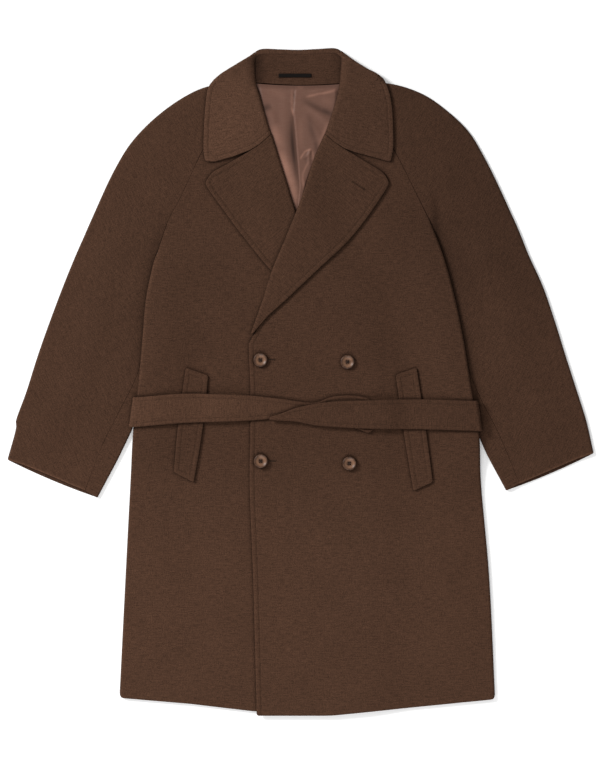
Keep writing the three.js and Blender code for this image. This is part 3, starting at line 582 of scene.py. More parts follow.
def turnedPanel(name, cut, startBase, endBase, material, facing):
    # A panel that runs from a start line to a fold, round it by half an ellipse, and on to an end line on the
    # other level. Each row gives start, fold and end points, the share of the half turn, sag, and the turn of
    # the start edge. A row's section is laid out as a path and sampled by its length.
    rows = np.array(cut["rows"], float)
    thickness, cell = wall[cut["cloth"]], cut["cell"]
    stitched = cut.get("stitched", "")
    index = np.arange(len(rows), dtype=float)
    fine = np.linspace(0, len(rows) - 1, 60 * (len(rows) - 1) + 1)
    places, stations, first, last, total = arcStations(
        railAt(rows[:, 0:2], fine), railAt(rows[:, 2:4], fine), fine,
        edgeColumns("s" in stitched), edgeColumns("e" in stitched), cell)
    start, fold, end = (railAt(rows[:, k:k + 2], stations) for k in (0, 2, 4))
    share, sag, turn = (np.interp(stations, index, rows[:, k]) for k in (6, 7, 8))
    reach = cut["reach"]
    t = np.linspace(0, 1, steps)[None, :]
    out = fold - start
    length = np.hypot(*out.T)[:, None]
    out = out / length
    angle = math.pi * share[:, None]
    outermost = (reach + thickness / 2) * np.sin(np.minimum(angle, math.pi / 2))
    flatEnd = length - outermost
    # the start edge rolls down on a quarter arc
    roll = np.maximum(turn[:, None], 0.001) * math.pi / 2
    rollRadius = bendRadius * math.pi / 2 / roll
    rollReach = np.where(turn[:, None] > 0.01, (rollRadius + thickness / 2) * np.sin(roll), 0)
    rollPath = rollReach - rollRadius * np.sin(roll * (1 - t)) * (turn[:, None] > 0.01)
    rollDrop = rollRadius * (1 - np.cos(roll * (1 - t))) * (turn[:, None] > 0.01)
    flatPath = rollReach + (flatEnd - rollReach) * t
    startX, startY = start[:, 0:1], start[:, 1:2]

    def at(path):
        u = path / length
        return startX + out[:, 0:1] * path, startY + out[:, 1:2] * path - sag[:, None] * 4 * u * (1 - u)

    rollX, rollY = at(rollPath)
    flatX, flatY = at(flatPath)
    turnX, turnY = at(flatEnd + reach * np.sin(angle * t))
    foldX, foldY = flatX[:, -1:], flatY[:, -1:]
    high, low = startBase(foldX, foldY), endBase(foldX, foldY)
    turnZ = (high + low) / 2 + (high - low) / 2 * np.cos(angle * t)
    backX = turnX[:, -1:] + (end[:, 0:1] - turnX[:, -1:]) * t
    backY = turnY[:, -1:] + (end[:, 1:2] - turnY[:, -1:]) * t
    whole = np.clip(share[:, None] * 4 - 3, 0, 1)
    backX = turnX[:, -1:] + (backX - turnX[:, -1:]) * whole
    backY = turnY[:, -1:] + (backY - turnY[:, -1:]) * whole
    backZ = turnZ[:, -1:] + (endBase(backX, backY) - turnZ[:, -1:]) * np.clip(t * 6, 0, 1) * whole
    x = np.concatenate([rollX, flatX, turnX, backX], axis=1)
    y = np.concatenate([rollY, flatY, turnY, backY], axis=1)
    z = np.concatenate([startBase(rollX, rollY) - rollDrop, startBase(flatX, flatY), turnZ, backZ], axis=1)
    z = z + ease(x, y) + thickness / 2
    path = np.stack([x, y, z], axis=2)
    lengths = np.concatenate([np.zeros((len(x), 1)), np.cumsum(
        np.linalg.norm(np.diff(path, axis=1), axis=2) + 1e-7, axis=1)], axis=1)
    near = edgeColumns(stitched and "b" in stitched)
    width = lengths[:, -1:]
    # the same columns begin and end the half turn in every row that has one: k = even + (turn's end - even) · w
    low, high = plainEdge[-1], width - near[-1]
    even = low + (high - low) * np.array(turnColumns)
    turned = np.clip(lengths[:, [2 * steps - 1, 3 * steps - 1]], low + 0.5, high - 0.5)
    knots = np.concatenate([low + 0 * width, even + (turned - even) * np.clip(2 * share[:, None], 0, 1), high], axis=1)
    spots = np.linspace(0, 1, cut["columns"] + 1)[1:-1]
    middle = np.stack([np.interp(spots, [0, *turnColumns, 1], row) for row in knots])
    wanted = np.concatenate([plainEdge[None, :] + 0 * width, middle, width - near[None, ::-1]], axis=1)
    points = np.stack([np.stack([np.interp(wanted[i], lengths[i], path[i, :, k]) for k in range(3)], axis=1)
                       for i in range(len(wanted))])
    fromStart, fromEnd = places[:, None] + 0 * wanted, (total - places)[:, None] + 0 * wanted
    points[..., 1] = movedEnds(cut, points[..., 0], points[..., 1], fromStart, fromEnd)
    plan = {
        "x": points[..., 0], "y": points[..., 1], "stitched": stitched, "along": wanted / width,
        "until": cut.get("until", {}), "relief": cut.get("relief", 0.5), "thickness": thickness,
        "round": cut.get("round", thickness / 2), "seams": cut.get("seams", {}), "tones": cut.get("tones", []),
        "distances": {"a": wanted, "b": width - wanted, "s": fromStart, "e": fromEnd},
        "lines": {"s": stitchedColumn, "e": len(places) - 1 - stitchedColumn, "b": wanted.shape[1] - 1 - stitchedColumn},
    }
    for corner, radius in cut.get("corners", {}).items():
        roundCorner(plan, corner, radius)
    points[..., 0], points[..., 1] = plan["x"], plan["y"]
    half = edgeHalf(plan)
    top = stitchedFace(plan, half / (thickness / 2))
    uv = np.stack([wanted, places[:, None] + 0 * wanted], axis=2)
    nap = cut["nap"](points[..., 0], points[..., 1]) if "nap" in cut else paintedLightOfPlan(plan)
    piece, upper = shell(name, points, half, material, uv, top, facing, nap)
    noteRuns(upper, plan)
    return piece, points, (float(width.max()), float(total))


def addNode(tree, kind, values=None, links=None, **settings):
    # a node with constants on some inputs and other nodes' sockets on others
    node = tree.nodes.new(kind)
    for name, value in settings.items():
        setattr(node, name, value)
    for name, value in (values or {}).items():
        node.inputs[name].default_value = value
    for name, socket in (links or {}).items():
        tree.links.new(socket, node.inputs[name])
    return node


def clothMaterial(name, look):
    # Woven cloth in the grain's coordinates: thread along one way, slubs along the other, and a nap over both; its
    # colour also carries painted light and shade.
    material = bpy.data.materials.new(name)
    material.use_nodes = True
    tree = material.node_tree
    shader = tree.nodes["Principled BSDF"]
    grain = addNode(tree, "ShaderNodeUVMap", uv_map="grain").outputs["UV"]

    def noise(size, stretch, detail):
        scaled = addNode(tree, "ShaderNodeMapping", {"Scale": (stretch[0], stretch[1], 1)}, {"Vector": grain})
        return addNode(tree, "ShaderNodeTexNoise", {"Scale": 1 / size, "Detail": detail, "Roughness": 0.6},
                       {"Vector": scaled.outputs["Vector"]}).outputs["Fac"]

    fine = noise(look["fine"], (1, 1), 2)
    slub = noise(look["slub"], (0.16, 1), 1)
    thread = noise(look["slub"], (1, 0.22), 1)
    cloud = noise(look["cloud"], (1, 1), 2)
    mixed = addNode(tree, "ShaderNodeMath", {1: look["slubShare"]}, {0: slub, 2: fine}, operation="MULTIPLY_ADD")
    mixed = addNode(tree, "ShaderNodeMath", {1: look["threadShare"]}, {0: thread, 2: mixed.outputs[0]},
                    operation="MULTIPLY_ADD")
    weave = addNode(tree, "ShaderNodeMapRange", {
        "From Min": look["low"], "From Max": look["high"]}, {"Value": mixed.outputs[0]}).outputs["Result"]
    light, dark = toLinear(look["light"]), toLinear(look["dark"])
    colour = addNode(tree, "ShaderNodeMix", {6: dark, 7: light}, {0: weave}, data_type="RGBA")
    shade = addNode(tree, "ShaderNodeMapRange", {
        "From Min": 0.3, "From Max": 0.7, "To Min": 1 - look["mottle"], "To Max": 1 + look["mottle"]},
        {"Value": cloud}).outputs["Result"]
    # painted light and shade from the nap attribute scale the colour
    nap = addNode(tree, "ShaderNodeAttribute", attribute_name="nap").outputs["Fac"]
    shade = addNode(tree, "ShaderNodeMath", links={0: shade, 1: nap}, operation="ADD").outputs[0]
    # painted shade: the colour darkens by ambient occlusion where layers touch and in crevices
    near = addNode(tree, "ShaderNodeAmbientOcclusion", {"Distance": 0.007}, samples=6).outputs["AO"]
    paintedContactShade = addNode(tree, "ShaderNodeMath", {1: look["contact"]}, {0: near}, operation="POWER").outputs[0]
    shade = addNode(tree, "ShaderNodeMath", links={0: shade, 1: paintedContactShade}, operation="MULTIPLY").outputs[0]
    toned = addNode(tree, "ShaderNodeVectorMath", links={0: colour.outputs[2], "Scale": shade}, operation="SCALE")
    tree.links.new(toned.outputs["Vector"], shader.inputs["Base Color"])
    bump = addNode(tree, "ShaderNodeBump", {"Strength": look["bump"], "Distance": look["bumpHeight"]}, {"Height": weave})
    tree.links.new(bump.outputs["Normal"], shader.inputs["Normal"])
    shader.inputs["Roughness"].default_value = look["roughness"]
    shader.inputs["Specular IOR Level"].default_value = look["specular"]
    shader.inputs["Sheen Weight"].default_value = look["sheen"]
    shader.inputs["Sheen Roughness"].default_value = 0.55
    shader.inputs["Sheen Tint"].default_value = light
    return material


def plainMaterial(name, colour, roughness, specular=0.3):
    material = bpy.data.materials.new(name)
    material.use_nodes = True
    shader = material.node_tree.nodes["Principled BSDF"]
    shader.inputs["Base Color"].default_value = toLinear(colour)
    shader.inputs["Roughness"].default_value = roughness
    shader.inputs["Specular IOR Level"].default_value = specular
    return material


woolLook = {
    "light": "#533A2C", "dark": "#33231A", "fine": 0.0018, "slub": 0.0021, "cloud": 0.07,
    "slubShare": 0.5, "threadShare": 0.35, "low": 0.66, "high": 1.19, "mottle": 0.05,
    "bump": 0.6, "bumpHeight": 0.0006, "roughness": 0.95, "specular": 0.06, "sheen": 0.06,
    "contact": 1.2,
}
# wool melton, brown, milled so that the twill hardly shows
wool = clothMaterial("wool_melton", woolLook)
# the collar is cut across the grain and looks redder and lighter
collarWool = clothMaterial("wool_melton_collar", {**woolLook, "light": "#583E30", "dark": "#37261C", "bump": 0.7})
# the inside of the stand, the same wool, pressed
standWool = clothMaterial("wool_melton_stand", {**woolLook, "light": "#4F372A", "dark": "#312118"})
# satin lining, taupe
satin = clothMaterial("lining_satin", {
    **woolLook, "light": "#6D5044", "dark": "#66473B", "fine": 0.0012, "bump": 0.05, "bumpHeight": 0.0001,
    "roughness": 0.5, "specular": 0.15, "sheen": 0.0, "mottle": 0.02, "contact": 0.3})
# woven tape, black, plain
labelTape = plainMaterial("label_tape", "#100C0A", 0.8, 0.1)
# sewing thread, a little darker than the wool
thread = plainMaterial("sewing_thread", "#3F2C20", 0.8, 0.1)
# buttonhole silk, dark
silk = plainMaterial("buttonhole_silk", "#271910", 0.6, 0.2)
# painted shade: the inside of the cuffs, where shade falls, coloured near black as the sleeves' lining
sleeveLiningShade = plainMaterial("sleeve_lining", "#20150F", 0.6, 0.2)


# The part of the collar under the back of the neck, which lifts the back and the sleeves' tops.
underLeaf = panelPlan({
    "cloth": "collar", "cell": 14,
    "rows": [
        (-139, 514, -136, 505), (-107, 536, -112, 490), (-70, 560, -74, 482), (-4, 557.5, -4, 478),
        (61, 561, 66, 482), (87, 539, 104, 487), (130, 508, 130, 500),
    ],
})
leafLift = liftOf(underLeaf)

rightFrontCut = {
    "cloth": "front", "bent": "b",
    "rows": [
        (99.5, -563, -308.6, -535.2, 0, 1, 8), (99.5, -340, -298.7, -340.7, 0, 1, 3),
        (99.5, -166, -289.5, -165.9, 0, 1), (99.5, -76, -283.9, -75.8, 0, 1), (99.5, -10, -276.5, -14, 0, 1),
        (99.5, 66, -270, 64, 0, 1), (95.5, 80, -268.7, 78, 5.6, 1), (66, 141, -262.8, 143.3, 5.4, 1),
        (30, 215, -247.6, 212, 5.4, 1), (24, 228, -242, 226, 5.4), (-1, 277, -224.4, 277.4, 5.4),
        (-13, 312, -206.9, 309.7, 5.4), (-36, 380, -174, 380, 5.4), (-43, 402, -161.5, 403, 5.4),
        (-49.3, 422, -150, 420, 5.4), (-60, 455, -113, 458, 5.4), (-68, 484, -85, 484, 5.4),
    ],
    "ends": {"s": ([(-308.6, -536.8), (-188, -547), (-79, -559.8), (99.5, -562)], 10, 230)},
    # painted highlight: a lighter band along the side edge where it rises over the sleeve
    "corners": {"bs": 9}, "seams": {"b": 200}, "tones": [("b", 0.14, 9, 20, 200)],
}
leftFrontCut = {
    "cloth": "front", "bent": "b", "stitched": "a", "relief": 0.6, "corners": {"as": 4, "bs": 9},
    # painted highlight: a lighter band along the side edge where it rises over the sleeve
    "seams": {"b": 230}, "tones": [("b", 0.14, 8, 0, 220)],
    "rows": [
        (-74.6, -567.6, 331.7, -536.7, 0, 1, 9), (-80.5, -340, 321.5, -330, 0, 1, 3),
        (-86.7, -165.9, 307.2, -165.9, 0, 1), (-85.5, -85, 303.5, -85.2, 0, 1), (-85.2, -12, 290.7, -11.9, 0, 1),
        (-87.7, 68, 278.4, 68, 0, 1), (-85.2, 79.5, 276, 80, 5.6, 1), (-71, 121, 268, 120, 5.4, 1),
        (-46, 196, 247.5, 201, 5.4, 1), (-20, 260, 227.6, 257, 5.4, 1), (-14, 274, 221.2, 272, 5.4),
        (4, 322, 196.9, 322.3, 5.4), (22, 379, 166.9, 382.2, 7.5), (34, 400, 155.2, 401.5, 7.5),
        (47, 420, 145, 420, 7.5), (57, 452, 110, 455, 5.4), (66, 482, 78, 481, 5.4),
    ],
    "ends": {"s": ([(-74.6, -566.8), (45, -566.8), (60, -566), (329, -539.4)], 10, 230)},
}
backCut = {
    "cloth": "back", "cell": 14,
    "rows": [
        (-303.5, -531, 326.6, -532, 0, 0, 22), (-294, -340.7, 316.6, -330, 0, 0, 4), (-284.7, -165.9, 302.4, -165.9),
        (-279.4, -80, 298.5, -80), (-271.7, -12, 286, -12), (-265, 64, 272.8, 72), (-257.6, 143, 258.5, 135),
        (-246, 212, 243, 201), (-241.2, 230, 228, 252), (-225, 277.4, 214, 286), (-206.9, 309.7, 196.9, 322.3),
        (-168.3, 392, 166.9, 382.2), (-150, 420, 145, 420), (-113, 458, 110, 455), (-84, 487, 77, 485),
        (-77, 507, 69, 505),
    ],
}

# The sleeves' inner edges lie tucked under the body's side edges, and lift them.
tuck = {
    "full": 14, "fade": 105, "bottomFull": 100, "bottomNone": 200,
    "right": (190, 245), "left": (235, 290),
}
rightSide = np.array([row[2:4] for row in rightFrontCut["rows"]], float)
leftSide = np.array([row[2:4] for row in leftFrontCut["rows"]], float)


def tuckLift(x, y):
    edge = np.where(x < 0, -np.interp(y, rightSide[:, 1], rightSide[:, 0]), np.interp(y, leftSide[:, 1], leftSide[:, 0]))
    full = np.where(x < 0, tuck["right"][0], tuck["left"][0])
    none = np.where(x < 0, tuck["right"][1], tuck["left"][1])
    height = 2 * (wall["sleeve"] + layerGap)
    return (height * fade(edge - np.abs(x), tuck["full"], tuck["fade"]) * fade(y, full, none - full)
            * fade(-y, tuck["bottomFull"], tuck["bottomNone"] - tuck["bottomFull"]))


# The back rises over the belt that runs under it.
beltBack = {"y": -52.0, "half": 25.5, "full": 6.0, "fade": 70.0}


def beltLift(x, y):
    return (wall["belt"] + layerGap) * fade(np.abs(y - beltBack["y"]), beltBack["half"] + beltBack["full"],
                                            beltBack["fade"])


onBelt = stack(leafLift, tuckLift, beltLift)
onBack = stack(onBelt, level(wall["back"] + layerGap))
backPlan = panelPlan(backCut)
piece, points = clothPanel("coat_back", backPlan, onBelt, wool)
declare(piece, points, backPlan["flat"], "back")
onBackEdge = stack(leafLift, liftOf(backPlan))

# The satin lining that shows in the neck: its right half laps over the left at the middle pleat, and hangs in
# slanted folds; the edges stay down under the fronts.
lining = {
    "cut": {
        "cloth": "lining", "cell": 1.9, "round": 0.4,
        "rows": [
            (-18, 285, 8, 285), (-33, 330, 15, 330), (-47, 378, 32, 378), (-58, 420, 52, 425),
            (-69, 453, 66, 463), (-77, 508.4, 68, 507.4, 0, 0, 3.2),
        ],
    },
    "pleat": [(285, -5), (331, -0.9), (376, -4), (429, -8.3), (459, -11.5), (486, -9.6), (510, -7.2)],
    "dip": 1.6, "dipWidth": 5.0, "lap": 1.5, "lapWidth": 12, "step": 0.5, "lift": 3.0,
    "folds": [
        # right of the pleat: a fold under the stand, two slanted ones, and the curved one below
        (14, 490, 68, 503, 3.2, 1.5, -3), (6, 470, 50, 434, 5.5, 1.4, -4), (6, 452, 36, 406, 5.0, 1.1, -4),
        (-1, 380, 17, 398, 2.4, 1.2, 5), (19, 399, 16, 366, 2.4, 1.1, 3), (4, 352, 9, 330, 2.6, 0.6, 1),
        # left of it: almost flat, with a soft roll along the pleat and one beside the front's edge
        (-27, 500, -15, 330, 8.0, 0.9, 4), (-48, 486, -31, 372, 7.0, 0.8, 3), (-60, 470, -44, 440, 6.0, 0.6, -2),
        # puckers at the pleat's tack
        (-17, 500, -9, 497, 1.5, 0.7, 0), (-18, 480, -11, 472, 1.5, 0.6, 0), (-17, 466, -11, 460, 1.4, 0.6, 0),
    ],
    # painted highlights and shade of the satin: from, to, width, strength and bow
    "sheen": [
        # painted shade down the left edge and where the front presses the lining in
        (-73, 506, -66, 462, 4.0, -0.5, 0), (-70, 462, -48, 470, 6.0, -0.75, 0), (-64, 458, -54, 440, 4.5, -0.4, 0),
        # painted highlight, brighter and brighter toward the lower left
        (-46, 440, -32, 396, 8.0, 0.6, 1), (-38, 400, -12, 336, 9.0, 0.95, 2), (-18, 350, -6, 300, 7.0, 0.8, 0),
        (-60, 500, -22, 484, 7.0, 0.14, 0),
        # the pleat: a painted highlight on the lip at the top, a band of painted shade left of the line below it
        (-15, 500, -14, 456, 2.0, 0.5, 0), (-14.5, 470, -12.5, 452, 1.5, 0.8, 0), (-12, 492, -9, 480, 1.4, -0.5, 0),
        (-15.5, 458, -5, 338, 3.6, -0.75, 2.4), (-19, 446, -12, 370, 7.0, -0.3, 2),
        (-8, 503, 6, 499, 3.0, 0.3, 0), (0, 452, 2, 392, 5.0, 0.2, 1),
        # right: a painted highlight line under the stand, painted shade in slanted hollows, and painted light beside
        # the front's edge
        (8, 484.5, 33, 491, 2.1, 0.7, 0), (26, 490, 66, 499, 2.2, 0.75, 1.6), (0, 483, 58, 453, 5.5, -0.6, 2),
        (36, 464, 58, 453, 5.0, -0.35, 0), (12, 458, 28, 402, 5.5, -0.5, 1), (50, 446, 30, 398, 4.5, 0.75, -1),
        (34, 482, 56, 474, 6.0, 0.16, 0),
        # the curved fold, in painted highlights and shade
        (-1, 379, 8, 392.5, 1.6, 0.8, -0.5), (5, 391, 20, 396.5, 1.6, 0.9, -1), (19, 397.5, 21, 370, 1.7, 0.7, -1.5),
        (26, 410, 27, 392, 3.5, -0.5, 0), (3, 388, 14, 372, 4.0, -0.25, 0), (15, 378, 3, 350, 1.7, 0.5, 1),
        (3, 360, 7, 318, 2.6, 0.4, 0),
    ],
}
liningPlan = panelPlan(lining["cut"])


def liningFolds(x, y):
    # left of the pleat line the height falls as exp(d / dipWidth), right of it as exp(-d / lapWidth)
    line = np.array(lining["pleat"], float)
    d = x - np.interp(y, line[:, 0], line[:, 1])
    over = 1 / (1 + np.exp(-d / lining["step"] * 2))
    dip = -lining["dip"] * np.exp(np.minimum(d, 0) / lining["dipWidth"]) * fade(np.abs(y - 400), 40, 75)
    lap = lining["lap"] * np.exp(-np.maximum(d, 0) / lining["lapWidth"]) * fade(-y, -340, 60)
    edges = np.minimum.reduce([liningPlan["distances"][side] for side in "abe"])
    return (lining["lift"] + dip * (1 - over) + lap * over + ridges(lining["folds"])(x, y)) * (1 - fade(edges, 3, 7))


def liningShade(x, y):
    # painted shade in the folds' hollows, with the satin's painted highlights and shade laid over them
    hollow = np.clip((liningFolds(x, y) - lining["lift"] - 0.6) * 0.06, -0.25, 0.15)
    streaks = ridges(lining["sheen"])(x, y)
    return hollow + np.where(streaks < 0, 0.68, 0.95) * streaks


piece, points = clothPanel("coat_lining", liningPlan, onBack, satin, creases=liningFolds, shade=liningShade)
declare(piece, points, liningPlan["flat"], "back_lining")

onLining = stack(onBack, liftOf(liningPlan))
onFront = stack(onLining, level(wall["front"] + layerGap))
rightFrontPlan = panelPlan(rightFrontCut)
piece, points = clothPanel("coat_right_front", rightFrontPlan, onLining, wool)
declare(piece, points, rightFrontPlan["flat"], "right_front")

rightLapelPlan = panelPlan({
    "cloth": "lapel", "bent": "b", "stitched": "ae", "corners": {"ae": 17}, "until": {"e": 0.62}, "cell": 7,
    "relief": 0.6, "round": 1.1,
    "ends": {"e": ([(-162, 351), (-120, 374), (-85.9, 393.9), (-70, 404.2), (-48.3, 422.9), (-40, 429)], 9, 50)},
    "rows": [
        (86, 80, 94, 82, 0, 1), (56, 97, 85, 102, 0, 1), (3, 140, 66, 141, 0, 1), (-48, 188, 41, 192, 0, 1),
        (-87.7, 235.3, 20, 235, 0, 1), (-126.8, 287.1, -5, 286, 0, 1), (-162.8, 341, -24, 345, 0, 1),
        (-162, 351, -48.3, 421.7, 0, 1),
    ],
})
piece, points = clothPanel("coat_right_lapel", rightLapelPlan, onFront, wool, 40)
declare(piece, points, rightLapelPlan["flat"], "right_lapel")

onUnderlap = stack(onLining, liftOf(rightFrontPlan), liftOf(rightLapelPlan))
onOverlap = stack(onUnderlap, level(wall["front"] + layerGap))
leftFrontPlan = panelPlan(leftFrontCut)
piece, points = clothPanel("coat_left_front", leftFrontPlan, onUnderlap, wool)
declare(piece, points, leftFrontPlan["flat"], "left_front")

leftLapelPlan = panelPlan({
    "cloth": "lapel", "bent": "b", "stitched": "ae", "corners": {"ae": 15}, "until": {"e": 0.66}, "cell": 7,
    "relief": 0.6, "round": 1.1,
    "ends": {"e": ([(30, 431), (41, 422.9), (57, 409.2), (73.5, 397.9), (92, 387), (120, 370), (151, 351)], 9, 50)},
    "rows": [
        (-78, 86, -84.6, 81, 0, 1), (-62, 106, -77.8, 101, 0, 1), (-22.8, 141.6, -64, 141, 0, 1),
        (29.4, 191.1, -48.2, 191, 0, 1), (81.4, 240.6, -28, 240, 0, 1), (120.4, 290, -7.6, 290, 0, 1),
        (150.5, 338, 6.5, 328, 0, 1), (151.5, 345, 21.5, 377, 0, 1), (151, 351, 41, 421.7, 0, 1),
    ],
})
piece, points = clothPanel("coat_left_lapel", leftLapelPlan, onOverlap, wool, -40)
declare(piece, points, leftLapelPlan["flat"], "left_lapel")
print("body: back, lining, fronts and lapels")

# The collar: one piece from notch to notch; beside the neck it lies on the fronts, behind it turns under the back.
collar = {
    "cloth": "collar", "cell": 2.5, "columns": 90, "reach": 4.4, "stitched": "bse",
    # painted light: the leaf at the left is lighter below the back of the neck, and the rest of the collar a little
    # darker
    "nap": lambda x, y: 0.26 * fade(x, -60, 90) * fade(y, 500, 60) - 0.06,
    "corners": {"bs": 5, "be": 3.5}, "relief": 0.55, "round": 0.9,
    "ends": {
        "s": ([(-162.5, 375.5), (-145.4, 375.2), (-115, 383.5), (-85.9, 394.4), (-70, 404.0), (-49.3, 422.2)], 9, 50),
        "e": ([(41.5, 422.2), (57, 408.9), (73.5, 398), (92, 391), (109.7, 386.4), (126.7, 381.8), (153.5, 374.5)], 9, 50),
    },
    "rows": [
        (-49.3, 422.3, -162.5, 374.5, -162.5, 374.5, 0, 0, 1), (-54.4, 438, -164.8, 396, -164.8, 396, 0, 0, 1),
        (-59.2, 453.4, -164, 432, -164, 432, 0, 0, 1), (-68, 484, -161.3, 472, -161.3, 472, 0, 0, 1),
        (-74.8, 506, -156, 502, -156, 502, 0, 0, 1), (-76, 516, -148, 513, -144, 508, 0.7, 0, 1),
        (-77, 524, -139, 521.5, -134, 514, 1, 0, 1), (-77.4, 534, -125.5, 530.4, -121, 508, 1, 0, 1),
        (-77.6, 545, -108, 540.8, -106, 498, 1, 0, 1), (-75.5, 553, -88, 553.6, -88, 486, 1, 0, 0.5),
        (-71.5, 556, -77.5, 562.4, -80, 483, 1, 0, 0), (-66, 557.2, -67.5, 567.2, -70, 482, 1, 0, 0),
        (-35, 557.2, -35, 567, -38, 480, 1, 0, 0), (-4.3, 556.2, -4.3, 566, -4, 478, 1, 0, 0),
        (28, 557.2, 28, 567.5, 30, 480, 1, 0, 0), (58, 558.2, 59.5, 568.6, 63, 482, 1, 0, 0),
        (64.5, 556.5, 69, 564.6, 73, 483, 1, 0, 0), (68.5, 552, 77, 558.2, 82, 485, 1, 0, 0.5), (68.8, 543, 94, 545.2, 96, 499, 1, 0, 1),
        (67.8, 533, 116, 531.4, 113, 507, 1, 0, 1), (66.8, 522, 131, 524, 126, 512, 1, 0, 1),
        (66.2, 513, 141.5, 515, 137, 507, 0.7, 0, 1), (65.6, 505, 147.5, 503, 147.5, 503, 0, 0, 1),
        (61.5, 484, 154.5, 476, 154.5, 476, 0, 0, 1), (54.2, 460, 157.6, 436, 157.6, 436, 0, 0, 1),
        (46.5, 437, 157.6, 396, 157.6, 396, 0, 0, 1), (41.5, 422.3, 153.3, 374, 153.3, 374, 0, 0, 1),
    ],
}


def collarTop(x, y):
    # over and beside the fronts the leaf rides on them, behind the neck it comes down onto the stand
    beside = 1 - fade(np.abs(x + 4), 64, 26) * (1 - fade(y, 486, 30))
    standTop = onBackEdge(x, y) + (wall["stand"] - wall["collar"] - 0.4) * (1 - fade(y, 540, 14))
    return standTop + (onFront(x, y) - standTop) * beside


piece, points, flat = turnedPanel("coat_collar", collar, collarTop, level(0), collarWool, -1)
declare(piece, points, flat, "collar")

# The stand inside the neck, quilted with rows of stitches.
stand = {
    "cut": {
        # painted shade in bands at both ends of the stand, beside the collar's leaves
        "cloth": "stand", "cell": 3, "round": 0.4, "tones": [("s", -0.7, 14, -999, 999), ("e", -0.35, 11, -999, 999)],
        "rows": [
            (-84, 509.5, -82, 544), (-76, 509.3, -72, 556.5), (-35, 506.6, -35, 558.7), (-4.3, 505.2, -4.3, 557.7),
            (28, 506, 28, 558.7), (67, 508, 64.5, 558), (75, 508, 74, 546),
        ],
    },
    "rows": [513, 518.5, 524, 529.5, 535, 540.5, 546, 551.5], "depth": 0.55, "width": 1.1,
}


def quilted(x, y):
    lines = np.array(stand["rows"])[:, None, None]
    return -stand["depth"] * np.exp(-((y[None] - lines) / stand["width"]) ** 2).sum(axis=0)


standPlan = panelPlan(stand["cut"])
piece, points = clothPanel("coat_collar_stand", standPlan, onBackEdge, standWool, creases=quilted)
declare(piece, points, standPlan["flat"], "collar_stand")

labelPlan = panelPlan({
    "cloth": "label", "cell": 6,
    "rows": [(-37, 518.4, -37, 524.4), (-10, 518.4, -10, 524.4), (18.5, 518.4, 18.5, 524.4)],
})
piece, points = clothPanel("coat_label", labelPlan, stack(onBackEdge, level(wall["stand"] + 0.3)), labelTape)
declare(piece, points, labelPlan["flat"], "label")
print("collar, stand and plain label")

onSleeve = stack(leafLift, level(wall["sleeve"] + layerGap))
rightSleeve = {
    "cloth": "sleeve", "bent": "b", "cell": 9, "grain": -64, "inset": -0.5, "round": 1.2,
    # painted shade along the seam side beside the body's edge, and a painted highlight on the cuff's rim
    "seams": {"a": -999}, "tones": [("a", -0.3, 17, 60, 250), ("e", 0.8, 2.2, -260, -60)],
    "ends": {"e": ([(-499, -131.5), (-471, -140.6), (-430, -157), (-393, -173), (-366, -184.2)], 9, 60)},
    "rows": [
        (-88, 490, -99, 506, 1, 1), (-113, 458, -155.7, 503.9, 1, 1), (-150, 420, -196.9, 486.9, 1, 1),
        (-168.3, 392, -246, 452, 1, 1), (-187, 352, -289.2, 407.2, 1, 1), (-206.9, 309.7, -320, 356, 1, 1),
        (-225.5, 275, -350, 291, 1, 1), (-242.1, 226.2, -372, 241, 1, 1), (-247.8, 212, -380, 223, 0.5, 1),
        (-252.5, 187, -391, 197, 0.5, 1), (-257, 155, -405, 162, 0.5, 1), (-264, 90, -428, 101, 0.5, 1),
        (-278, 14, -448.8, 41.8, 0.5, 1), (-305, -42, -467, -16, 0.5, 1), (-334.3, -99, -485.4, -69, 0.5, 1),
        (-336, -103, -484.2, -73.5, 0.5, 1), (-367, -184, -499, -131.5, 0.5, 1),
    ],
}
leftSleeve = {
    "cloth": "sleeve", "bent": "b", "cell": 9, "grain": 64, "inset": -0.5, "round": 1.2,
    # painted shade along the seam side beside the body's edge, and a painted highlight on the cuff's rim
    "seams": {"a": -999}, "tones": [("a", -0.3, 15, 40, 235), ("e", 0.8, 2.2, -250, -50)],
    "ends": {"e": ([(372, -172.6), (398, -161.4), (430, -147.6), (471, -130), (499.3, -120.4)], 9, 60)},
    "rows": [
        (81, 487, 92, 505, 1, 1), (110, 455, 146.9, 509, 1, 1), (145, 420, 206.7, 491.8, 1, 1),
        (166.9, 382.2, 248, 464, 1, 1), (184, 348, 286.6, 427, 1, 1), (200, 316, 315, 380, 1, 1),
        (215, 286, 342, 325, 1, 1), (224.4, 264.5, 360, 285, 1, 1), (228, 256.5, 367, 270, 0.5, 1),
        (234.5, 231, 377, 246, 0.5, 1), (243, 206, 388.5, 217, 0.5, 1), (256.5, 150, 413, 163, 0.5, 1),
        (270, 95, 433, 105, 0.5, 1), (284.5, 28, 452, 44, 0.5, 1), (308, -30, 470, -12, 0.5, 1),
        (336, -83, 487, -66, 0.5, 1), (373, -172, 499.3, -120.4, 0.5, 1),
    ],
}
